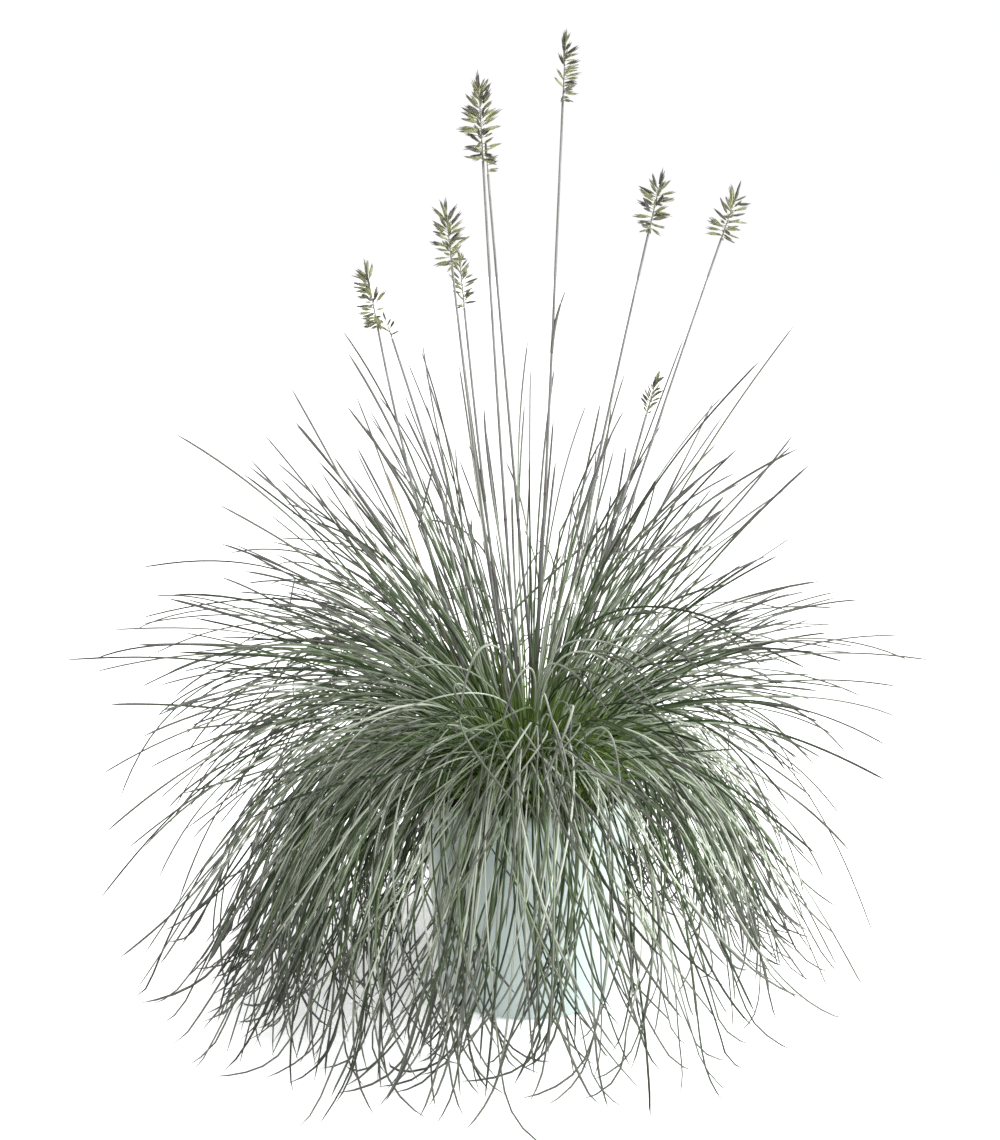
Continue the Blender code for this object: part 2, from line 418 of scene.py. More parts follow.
@dataclass(frozen=True)
class StalkSkin:
    """The smooth skin of a flowering stalk with a faint bloom."""

    green: Colour = (0.070, 0.073, 0.062)
    bloom: Colour = (0.160, 0.156, 0.158)
    node: Colour = (0.040, 0.030, 0.028)
    roughness: float = 0.48

    def build(self) -> bpy.types.Material:
        """Makes the stalk: streaked grey-green, dark at the joints.

        Returns:
            The material.
        """
        material, graph, shader = new_material("stalk_skin")
        tone = graph.add("ShaderNodeAttribute", attribute_name=TONE_LAYER)
        parts = graph.add("ShaderNodeSeparateColor", {0: tone.outputs["Color"]})
        place = graph.add("ShaderNodeTexCoord").outputs["Object"]
        stretch = graph.add("ShaderNodeMapping", {"Vector": place, "Scale": (1.0, 1.0, 0.06)})
        streak = graph.noise(stretch.outputs[0], 700.0, 3.0)
        blend = graph.math("MULTIPLY", graph.span(streak, 0.3, 0.7),
                           graph.span(parts.outputs["Red"], 0.0, 0.8, 0.35, 1.0))
        colour = graph.mix(blend, self.green, self.bloom)
        colour = graph.mix(parts.outputs["Blue"], colour, self.node)
        rough = graph.span(streak, 0.0, 1.0, self.roughness - 0.05, self.roughness + 0.12)
        bump = graph.add("ShaderNodeBump", {"Strength": 0.2, "Distance": 0.0002,
                                            "Height": streak})
        graph.finish(shader, colour, rough, bump)
        return material


@dataclass(frozen=True)
class SpikeletScale:
    """Papery flower scales: green keels with pale or dusky edges."""

    keel: Colour = (0.038, 0.046, 0.022)
    body: Colour = (0.27, 0.29, 0.135)
    edge: Colour = (0.19, 0.19, 0.12)
    dusk: Colour = (0.030, 0.026, 0.030)

    def build(self) -> bpy.types.Material:
        """Makes the scales: tones along each scale, with fine veins.

        Returns:
            The material.
        """
        material, graph, shader = new_material("spikelet_scale")
        tone = graph.add("ShaderNodeAttribute", attribute_name=TONE_LAYER)
        parts = graph.add("ShaderNodeSeparateColor", {0: tone.outputs["Color"]})
        place = graph.add("ShaderNodeTexCoord").outputs["Object"]
        run = graph.ramp(parts.outputs["Red"], [(0.0, self.body), (0.40, self.body),
                                                (0.68, self.edge), (0.88, self.dusk)])
        veins = graph.noise(place, 1500.0, 2.0)
        colour = graph.mix(graph.span(veins, 0.35, 0.65, 0.0, 0.55), run, self.keel)
        colour = graph.mix(graph.span(parts.outputs["Green"], 0.50, 0.80, 0.0, 0.85),
                           colour, self.dusk)
        bump = graph.add("ShaderNodeBump", {"Strength": 0.3, "Distance": 0.0003,
                                            "Height": veins})
        graph.finish(shader, colour, graph.span(veins, 0.0, 1.0, 0.5, 0.72), bump)
        return material


@dataclass(frozen=True)
class PaleFloor:
    """The plain pale floor of the studio."""

    tone: Colour = (0.97, 0.97, 0.97)

    def build(self) -> bpy.types.Material:
        """Makes the floor with a barely visible mottle.

        Returns:
            The material.
        """
        material, graph, shader = new_material("pale_floor")
        place = graph.add("ShaderNodeTexCoord").outputs["Object"]
        patches = graph.group(EFFECTS.mottle, {"Vector": place, "Scale": 1.5, "Contrast": 0.6})
        darker = tuple(0.985 * part for part in self.tone)
        colour = graph.mix(patches.outputs["Mask"], self.tone, darker)
        material.node_tree.links.new(colour, shader.inputs["Base Color"])
        shader.inputs["Emission Color"].default_value = (1.0, 1.0, 1.0, 1.0)
        shader.inputs["Emission Strength"].default_value = 0.32
        shader.inputs["Roughness"].default_value = 0.9
        shader.inputs["Specular IOR Level"].default_value = 0.1
        return material


# ---------------------------------------------------------------------------
# Modelling with Blender's own tools
# ---------------------------------------------------------------------------
def deselect_all() -> None:
    """Leaves edit mode if needed and clears the selection."""
    if bpy.context.object and bpy.context.object.mode != "OBJECT":
        bpy.ops.object.mode_set(mode="OBJECT")
    bpy.ops.object.select_all(action="DESELECT")


def pick(piece: bpy.types.Object, kind: str, wanted: Callable[[Vector], bool]) -> None:
    """Selects the vertices, edges or faces of a piece in edit mode by place.

    Args:
        piece: The piece, in edit mode.
        kind: VERT, EDGE or FACE.
        wanted: Tells from an element's middle, or an edge's direction and
            middle, whether to select it.
    """
    bpy.context.tool_settings.mesh_select_mode = (kind == "VERT", kind == "EDGE", kind == "FACE")
    shape = bmesh.from_edit_mesh(piece.data)
    for element in (*shape.verts, *shape.edges, *shape.faces):
        element.select = False
    if kind == "VERT":
        for vertex in shape.verts:
            vertex.select = wanted(vertex.co)
    elif kind == "EDGE":
        for edge in shape.edges:
            edge.select = wanted(edge.verts[1].co - edge.verts[0].co)
    else:
        for face in shape.faces:
            face.select = wanted(face.calc_center_median())
    shape.select_flush_mode()
    bmesh.update_edit_mesh(piece.data)


def turned_solid(name: str, rings: list[tuple[float, float]], segments: int
                 ) -> bpy.types.Object:
    """Raises a disc ring by ring into a closed round solid.

    Args:
        name: The piece's name.
        rings: Radius and height of each ring, from the base's edge over the
            outside to the last ring inside.
        segments: Sides of each ring.

    Returns:
        The solid, in object mode, smooth where its angle allows.
    """
    deselect_all()
    radius, height = rings[0]
    bpy.ops.mesh.primitive_circle_add(
        vertices=segments, radius=radius, fill_type="NGON", location=(0.0, 0.0, height))
    piece = bpy.context.object
    piece.name = name
    bpy.ops.object.mode_set(mode="EDIT")
    bpy.ops.mesh.select_all(action="SELECT")
    for next_radius, next_height in rings[1:]:
        bpy.ops.mesh.extrude_region_move(
            TRANSFORM_OT_translate={"value": (0.0, 0.0, next_height - height)})
        ratio = next_radius / radius
        bpy.ops.transform.resize(
            value=(ratio, ratio, 1.0), center_override=(0.0, 0.0, next_height))
        radius, height = next_radius, next_height
    bpy.ops.mesh.select_all(action="SELECT")
    bpy.ops.mesh.normals_make_consistent(inside=False)
    bpy.ops.object.mode_set(mode="OBJECT")
    bpy.ops.object.transform_apply(location=True, rotation=True, scale=True)
    bpy.ops.object.shade_smooth_by_angle(angle=math.radians(42.0))
    return piece


def arc(centre: tuple[float, float], radius: float, start: float, end: float,
        steps: int) -> list[tuple[float, float]]:
    """Lays out the points of an arc.

    Args:
        centre: Radius and height of its centre.
        radius: Its radius.
        start: The angle of its first point, in degrees.
        end: The angle of its last point, in degrees.
        steps: How many steps it is cut into.

    Returns:
        Radius and height of each point.
    """
    turns = [math.radians(start + (end - start) * step / steps) for step in range(steps + 1)]
    return [(centre[0] + radius * math.cos(turn), centre[1] + radius * math.sin(turn))
            for turn in turns]


@dataclass
class Template:
    """One modelled shape that is copied many times into a joined mesh."""

    points: Array
    loops: Array
    counts: Array

    @classmethod
    def take(cls, piece: bpy.types.Object) -> "Template":
        """Reads a modelled piece and removes it from the scene.

        Args:
            piece: The piece, at the origin.

        Returns:
            Its points, face corners and corner counts.
        """
        mesh = piece.data
        points = np.empty(len(mesh.vertices) * 3)
        mesh.vertices.foreach_get("co", points)
        loops = np.empty(len(mesh.loops), dtype=np.int64)
        mesh.loops.foreach_get("vertex_index", loops)
        counts = np.empty(len(mesh.polygons), dtype=np.int64)
        mesh.polygons.foreach_get("loop_total", counts)
        bpy.data.objects.remove(piece, do_unlink=True)
        return cls(points.reshape(-1, 3), loops, counts)

    def stamp(self, turns: Array, scales: Array, places: Array) -> Array:
        """Returns the points of every copy.

        Args:
            turns: A rotation matrix for each copy.
            scales: Three scale values for each copy.
            places: Where each copy's origin goes.

        Returns:
            An array of copies by points by three.
        """
        scaled = self.points[None] * scales[:, None]
        return np.einsum("nij,nvj->nvi", turns, scaled) + places[:, None]


def joined_mesh(name: str, template: Template, points: Array,
                tones: Array | None = None) -> bpy.types.Object:
    """Makes one object of many copies of a template.

    Args:
        name: The piece's name.
        template: The shape whose faces every copy has.
        points: Copies by points by three.
        tones: Copies by points by three values for the tone layer.

    Returns:
        The joined piece, shaded smooth.
    """
    copies, per_copy = points.shape[:2]
    mesh = bpy.data.meshes.new(name)
    mesh.vertices.add(copies * per_copy)
    mesh.vertices.foreach_set("co", points.astype(np.float32).ravel())
    offsets = (np.arange(copies) * per_copy)[:, None]
    loops = (template.loops[None] + offsets).ravel()
    mesh.loops.add(len(loops))
    mesh.loops.foreach_set("vertex_index", loops.astype(np.int32))
    counts = np.tile(template.counts, copies)
    starts = np.concatenate(([0], np.cumsum(counts)[:-1]))
    mesh.polygons.add(len(counts))
    mesh.polygons.foreach_set("loop_start", starts.astype(np.int32))
    mesh.update(calc_edges=True)
    mesh.shade_smooth()
    if tones is not None:
        layer = mesh.color_attributes.new(TONE_LAYER, "FLOAT_COLOR", "POINT")
        rgba = np.concatenate([tones.reshape(-1, 3), np.ones((copies * per_copy, 1))], axis=1)
        layer.data.foreach_set("color", rgba.astype(np.float32).ravel())
    piece = bpy.data.objects.new(name, mesh)
    bpy.context.scene.collection.objects.link(piece)
    return piece


def join_pieces(name: str, parts: list[bpy.types.Object]) -> bpy.types.Object:
    """Joins modelled parts into one piece.

    Args:
        name: The piece's name.
        parts: The parts, each at the origin.

    Returns:
        The joined piece.
    """
    deselect_all()
    for part in parts:
        part.select_set(True)
    bpy.context.view_layer.objects.active = parts[0]
    bpy.ops.object.join()
    joined = bpy.context.object
    joined.name = name
    joined.data.name = name
    return joined


def dress(piece: bpy.types.Object, material: bpy.types.Material, slot: Slot,
          *nodes: str) -> None:
    """Gives a piece its material and body, logs its slot, and hides the nodes it stands for.

    Args:
        piece: The finished piece.
        material: Its material.
        slot: The slot for its finish, which is only logged.
        nodes: The CAD nodes that it replaces, if any.
    """
    piece.data.materials.clear()
    piece.data.materials.append(material)
    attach(piece, ROOT)
    if nodes:
        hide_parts(*nodes)
    faces = len(piece.data.polygons)
    log.info("%s: %d faces, slot %s", piece.name, faces, slot.value)


def unit(vectors: Array) -> Array:
    """Returns vectors at length one."""
    return vectors / np.maximum(np.linalg.norm(vectors, axis=-1, keepdims=True), 1e-12)


def aim(directions: Array, rolls: Array) -> Array:
    """Returns rotations that turn +Z to each direction, rolled about it.

    Args:
        directions: Unit vectors, one for each copy.
        rolls: Turn about the direction, in radians.

    Returns:
        Rotation matrices, copies by three by three.
    """
    helper = np.where(np.abs(directions[:, 2:3]) > 0.95, [[1.0, 0.0, 0.0]], [[0.0, 0.0, 1.0]])
    side = unit(np.cross(helper, directions))
    up = np.cross(directions, side)
    cos, sin = np.cos(rolls)[:, None], np.sin(rolls)[:, None]
    first = side * cos + up * sin
    second = np.cross(directions, first)
    return np.stack([first, second, directions], axis=2)


# ---------------------------------------------------------------------------
# Pot, soil and crown
# ---------------------------------------------------------------------------
@dataclass
class Pot:
    """The tapered glazed pot, finer than its CAD solid but the same size."""

    segments: int = 128
    wall: float = 0.0055
    floor: float = 0.007
    lip_height: float = 0.009
    lip_proud: float = 0.0014
    base_radius: float = 0.0615
    base_round: float = 0.0045
    rim_radius: float = field(init=False)
    height: float = field(init=False)

    def __post_init__(self) -> None:
        """Reads the rim's radius and the height from the frame."""
        low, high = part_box("pot")
        self.rim_radius = (high[0] - low[0]) / 2.0
        self.height = high[2]

    def wall_radius(self, height: float) -> float:
        """Returns the outer radius of the tapered wall at a height."""
        top = self.rim_radius - self.lip_proud
        return self.base_radius + (top - self.base_radius) * height / self.height

    @property
    def inner_rim(self) -> float:
        """Returns the inner radius of the rim."""
        return self.wall_radius(self.height) - self.wall

    def rings(self) -> list[tuple[float, float]]:
        """Lays out the pot's outline from its base over the rim to its inner floor.

        Returns:
            Radius and height of each ring.
        """
        under_lip = self.height - self.lip_height
        lip_half = (self.rim_radius - self.inner_rim) / 2.0
        rings = [(self.base_radius * 0.86, 0.0)]
        rings += arc((self.wall_radius(self.base_round) - self.base_round, self.base_round),
                     self.base_round, -90.0, 0.0, 6)
        steps = 10
        for step in range(1, steps):
            level = self.base_round + (under_lip - self.base_round) * step / steps
            rings.append((self.wall_radius(level), level))
        rings += [(self.wall_radius(under_lip) + 0.0001, under_lip - 0.0004),
                  (self.rim_radius - 0.0008, under_lip + 0.0002),
                  (self.rim_radius - 0.0001, under_lip + 0.0010)]
        rings += arc((self.rim_radius - lip_half, self.height - lip_half), lip_half, 0.0, 180.0, 12)
        rings += [(self.wall_radius(under_lip) - self.wall, under_lip),
                  (self.wall_radius(self.floor + 0.006) - self.wall, self.floor + 0.006),
                  (self.wall_radius(self.floor) - self.wall - 0.006, self.floor)]
        return rings

    def build(self) -> None:
        """Models the pot and glazes it."""
        piece = turned_solid("glazed_pot", self.rings(), self.segments)
        dress(piece, CeladonGlaze().build(), Slot.GLAZE, "pot")


@dataclass
class SoilBed:
    """The soil: a turned plug with a crumbly top and loose bits on it."""

    pot: Pot
    segments: int = 72
    rings_on_top: int = 26
    crumbs: int = 900
    seed: int = 11

    def __post_init__(self) -> None:
        """Reads the soil's level and foot from the frame."""
        low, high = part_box("potting_soil")
        self.foot, self.level = low[2], high[2]
        self.radius = (high[0] - low[0]) / 2.0

    def relief(self, x: float, y: float) -> float:
        """Works out the waves of the soil's top.

        Args:
            x: Place along X.
            y: Place along Y.

        Returns:
            The height above the soil's level.
        """
        waves = (math.sin(210.0 * x + 1.3) * math.cos(190.0 * y)
                 + 0.6 * math.sin(430.0 * x - 300.0 * y)
                 + 0.4 * math.sin(880.0 * y + 610.0 * x + 0.7))
        return -0.0016 + 0.0007 * waves

    def build(self) -> None:
        """Models the plug, roughens its top and strews the crumbs."""
        rings = [(self.radius * 0.80, self.foot), (self.radius * 0.89, self.foot + 0.006)]
        rings += [(self.radius, self.level - 0.0012)]
        for step in range(self.rings_on_top):
            share = 1.0 - (step + 0.3) / self.rings_on_top
            rings.append((self.radius * share, self.level))
        plug = turned_solid("soil_bed", rings, self.segments)
        for vertex in plug.data.vertices:
            if vertex.co.z > self.level - 0.0005:
                vertex.co.z += self.relief(vertex.co.x, vertex.co.y)
        material = PeatMix().build()
        dress(plug, material, Slot.SOIL, "potting_soil")
        crumbs = self.build_crumbs()
        dress(crumbs, material, Slot.SOIL)

    def build_crumbs(self) -> bpy.types.Object:
        """Models one crumb and strews copies over the soil.

        Returns:
            The crumbs as one piece.
        """
        deselect_all()
        bpy.ops.mesh.primitive_ico_sphere_add(subdivisions=1, radius=1.0)
        crumb = bpy.context.object
        bpy.ops.object.mode_set(mode="EDIT")
        pick(crumb, "VERT", lambda place: place.x > 0.3)
        bpy.ops.transform.resize(value=(1.0, 0.6, 0.7))
        bpy.ops.transform.translate(value=(0.25, 0.0, 0.1))
        bpy.ops.object.mode_set(mode="OBJECT")
        template = Template.take(crumb)
        rng = np.random.default_rng(self.seed)
        distance = (self.radius - 0.003) * np.sqrt(rng.uniform(0.1, 1.0, self.crumbs))
        turn = rng.uniform(0.0, math.tau, self.crumbs)
        x, y = distance * np.cos(turn), distance * np.sin(turn)
        z = np.array([self.level + self.relief(a, b) for a, b in zip(x, y)]) + 0.0002
        size = 0.0004 + 0.0014 * rng.uniform(0.0, 1.0, self.crumbs) ** 3
        scales = size[:, None] * rng.uniform([0.7, 0.5, 0.3], [1.8, 1.0, 0.7], (self.crumbs, 3))
        normals = unit(rng.normal(size=(self.crumbs, 3)) * 0.35 + [0.0, 0.0, 1.0])
        turns = aim(normals, rng.uniform(0.0, math.tau, self.crumbs))
        return joined_mesh("soil_crumbs", template,
                           template.stamp(turns, scales, np.stack([x, y, z], axis=1)))


@dataclass
class Crown:
    """The tussock: a mound of packed shoots, each in its pale sheath."""

    shoots: int = 520
    seed: int = 23

    def __post_init__(self) -> None:
        """Reads the crown's dome from the frame."""
        low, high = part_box("crown")
        self.radius = (high[0] - low[0]) / 2.0
        self.foot, self.rise = low[2], high[2] - low[2]

    def top(self, distance: Array) -> Array:
        """Returns the dome's height at distances from the axis."""
        share = np.clip(distance / self.radius, 0.0, 1.0)
        return self.foot + self.rise * np.sqrt(1.0 - share * share)

    def build(self, leaf: bpy.types.Material) -> None:
        """Models the mound and packs the sheaths over it.

        Args:
            leaf: The material of the sheaths.
        """
        steps = 12
        rings = [(self.radius * 0.97, self.foot)]
        for step in range(1, steps):
            turn = math.radians(88.0 * step / steps)
            rings.append((self.radius * 0.93 * math.cos(turn),
                          self.foot + self.rise * 0.86 * math.sin(turn)))
        mound = turned_solid("crown_mound", rings, 64)
        humus = PeatMix("crown_humus", dark=(0.03, 0.035, 0.012), warm=(0.11, 0.10, 0.035))
        dress(mound, humus.build(), Slot.SHEATH, "crown")
        dress(self.build_sheaths(), leaf, Slot.SHEATH)

    def build_sheaths(self) -> bpy.types.Object:
        """Models one shoot base and packs copies over the mound.

        Returns:
            The sheaths as one piece.
        """
        deselect_all()
        bpy.ops.mesh.primitive_cylinder_add(vertices=5, radius=1.0, depth=1.0,
                                            location=(0.0, 0.0, 0.5))
        shoot = bpy.context.object
        bpy.ops.object.transform_apply(location=True)
        bpy.ops.object.mode_set(mode="EDIT")
        pick(shoot, "EDGE", lambda run: abs(run.z) > 0.5)
        bpy.ops.mesh.subdivide(number_cuts=2)
        pick(shoot, "VERT", lambda place: place.z > 0.9)
        bpy.ops.transform.resize(value=(0.35, 0.35, 1.0), center_override=(0.25, 0.0, 1.0))
        pick(shoot, "VERT", lambda place: 0.2 < place.z < 0.5)
        bpy.ops.transform.resize(value=(1.15, 1.15, 1.0), center_override=(0.0, 0.0, 0.33))
        bpy.ops.object.mode_set(mode="OBJECT")
        template = Template.take(shoot)
        rng = np.random.default_rng(self.seed)
        distance = self.radius * 0.98 * np.sqrt(rng.uniform(0.0, 1.0, self.shoots))
        turn = rng.uniform(0.0, math.tau, self.shoots)
        outward = np.stack([np.cos(turn), np.sin(turn), np.zeros_like(turn)], axis=1)
        lean = np.radians(6.0 + 46.0 * (distance / self.radius) ** 1.4)
        lean += rng.normal(0.0, 0.12, self.shoots)
        directions = unit(outward * np.sin(lean)[:, None]
                          + np.array([0.0, 0.0, 1.0]) * np.cos(lean)[:, None])
        places = outward * distance[:, None]
        places[:, 2] = self.foot + (self.top(distance) - self.foot) * 0.45
        girth = rng.uniform(0.0009, 0.0017, self.shoots)
        length = rng.uniform(0.014, 0.030, self.shoots)
        points = template.stamp(aim(directions, rng.uniform(0.0, math.tau, self.shoots)),
                                np.stack([girth, girth, length], axis=1), places)
        tones = np.empty(points.shape)
        tones[..., 0] = 0.10 * template.points[:, 2][None]
        tones[..., 1] = rng.uniform(0.0, 0.7, self.shoots)[:, None]
        tones[..., 2] = np.where(rng.uniform(0.0, 1.0, self.shoots) < 0.22, 0.93, 0.2)[:, None]
        return joined_mesh("crown_sheaths", template, points, tones)


# ---------------------------------------------------------------------------
# Leaf blades
# ---------------------------------------------------------------------------
@dataclass(frozen=True)
class Habit:
    """How the blades of one kind of tuft grow, as ranges low to high."""

    lean_foot: tuple[float, float]
    lean_tip: tuple[float, float]
    bend: tuple[float, float]
    length: tuple[float, float]
    hook: tuple[float, float] = (0.0, 0.0)
    drift: float = 14.0
    swing: float = 10.0
    onset: float = 1.0
    lopsided: float = 0.0


@dataclass
class BladeForm:
    """The one blade that every leaf copies: slim, three-sided, pointed."""

    sides: int = 3
    segments: int = 30
    crowding: float = 1.12

    def build(self) -> Template:
        """Models the blade upright, one unit tall.

        Returns:
            The blade.
        """
        deselect_all()
        bpy.ops.mesh.primitive_cylinder_add(vertices=self.sides, radius=1.0, depth=1.0,
                                            location=(0.0, 0.0, 0.5))
        blade = bpy.context.object
        bpy.ops.object.transform_apply(location=True)
        bpy.ops.object.mode_set(mode="EDIT")
        pick(blade, "EDGE", lambda run: abs(run.z) > 0.5)
        bpy.ops.mesh.subdivide(number_cuts=self.segments - 1)
        pick(blade, "VERT", lambda place: place.z > 1.0 - 0.5 / self.segments)
        bpy.ops.mesh.merge(type="CENTER")
        bpy.ops.object.mode_set(mode="OBJECT")
        return Template.take(blade)

    def ring_of(self, template: Template) -> Array:
        """Returns which ring along the blade each point is on."""
        return np.rint(template.points[:, 2] * self.segments).astype(int)

    def shares(self) -> Array:
        """Returns how far along the blade each ring is, closest near the foot."""
        return np.linspace(0.0, 1.0, self.segments + 1) ** self.crowding

    def columns(self, template: Template) -> tuple[Array, Array]:
        """Works out where each face corner lies on the blade's map.

        Args:
            template: The blade.

        Returns:
            Each corner's place across and along, from 0 to 1.
        """
        angle = np.arctan2(template.points[:, 1], template.points[:, 0])
        corner_point = template.loops
        side_of_point = np.rint((angle / math.tau) * self.sides - 0.25 * self.sides) % self.sides
        across = np.empty(len(corner_point))
        starts = np.concatenate(([0], np.cumsum(template.counts)[:-1]))
        for start, count in zip(starts, template.counts):
            corners = corner_point[start:start + count]
            middle = template.points[corners].mean(axis=0)
            turn = math.atan2(middle[1], middle[0])
            offset = (angle[corners] - turn + math.pi) % math.tau - math.pi
            side = int(side_of_point[corners[0]])
            tip = np.hypot(*template.points[corners, :2].T) < 1e-4
            place = np.where(offset < 0.0, 0.1, 0.9)
            across[start:start + count] = (side + np.where(tip, 0.5, place)) / self.sides
        along = self.shares()[self.ring_of(template)][corner_point]
        return across, along


@dataclass
class Growth:
    """Lets blades grow step by step, over the rim and down to the floor."""

    pot: Pot
    soil_level: float
    floor_clearance: float = 0.0012
    landing: float = 0.034
    skin: float = 0.0014

    def march(self, shares: Array, feet: Array, azimuth: Array, lean: Array,
              length: Array, floor_curl: Array) -> tuple[Array, Array]:
        """Steps every blade from its foot to its tip.

        Args:
            shares: Ring places from 0 to 1.
            feet: Where each blade starts.
            azimuth: Heading of each step of each blade, in radians.
            lean: Lean from the vertical of each step, in radians.
            length: Length of each blade.
            floor_curl: Turn per metre of a blade that lies on the floor.

        Returns:
            The path points, and the heading at each ring.
        """
        steps = len(shares) - 1
        points = np.empty((len(feet), steps + 1, 3))
        heading = np.empty((len(feet), steps + 1))
        points[:, 0] = feet
        heading[:, 0] = azimuth[:, 0]
        extra = np.zeros(len(feet))
        level = math.pi / 2.0
        for step in range(steps):
            run = (shares[step + 1] - shares[step]) * length
            here = points[:, step]
            above = here[:, 2] - self.floor_clearance
            ease = np.clip(above / self.landing, 0.0, 1.0)
            tilt = lean[:, step]
            tilt = np.where(tilt > level, level + (tilt - level) * ease, tilt)
            extra += np.where(ease < 0.45, floor_curl * run, 0.0)
            turn = azimuth[:, step] + extra
            move = np.stack([np.sin(tilt) * np.cos(turn), np.sin(tilt) * np.sin(turn),
                             np.cos(tilt)], axis=1)
            points[:, step + 1] = self.keep_clear(here, here + move * run[:, None])
            heading[:, step + 1] = turn
        return points, heading

    def keep_clear(self, before: Array, after: Array) -> Array:
        """Moves new points out of the soil, the pot's wall and the floor.

        Args:
            before: The points of the last ring.
            after: The points as they would be.

        Returns:
            The points as they may be.
        """
        pot = self.pot
        after = after.copy()
        reach = np.hypot(after[:, 0], after[:, 1])
        was = np.hypot(before[:, 0], before[:, 1])
        rim_top = pot.height + self.skin
        inside = (reach < pot.inner_rim) & (was < pot.inner_rim)
        after[:, 2] = np.where(inside, np.maximum(after[:, 2], self.soil_level + 0.002), after[:, 2])
        over_rim = (reach >= pot.inner_rim - self.skin) & (reach <= pot.rim_radius + self.skin)
        over_rim &= (was < pot.rim_radius)
        after[:, 2] = np.where(over_rim & (after[:, 2] < rim_top), rim_top, after[:, 2])
        low = after[:, 2] < rim_top
        share = np.clip(after[:, 2] / pot.height, 0.0, 1.0)
        wall = pot.base_radius + (pot.rim_radius - pot.base_radius) * share + self.skin
        sunk = low & (was >= pot.inner_rim) & (reach < wall)
        push = np.where(sunk, wall / np.maximum(reach, 1e-6), 1.0)
        after[:, 0] *= push
        after[:, 1] *= push
        after[:, 2] = np.maximum(after[:, 2], self.floor_clearance)
        return after


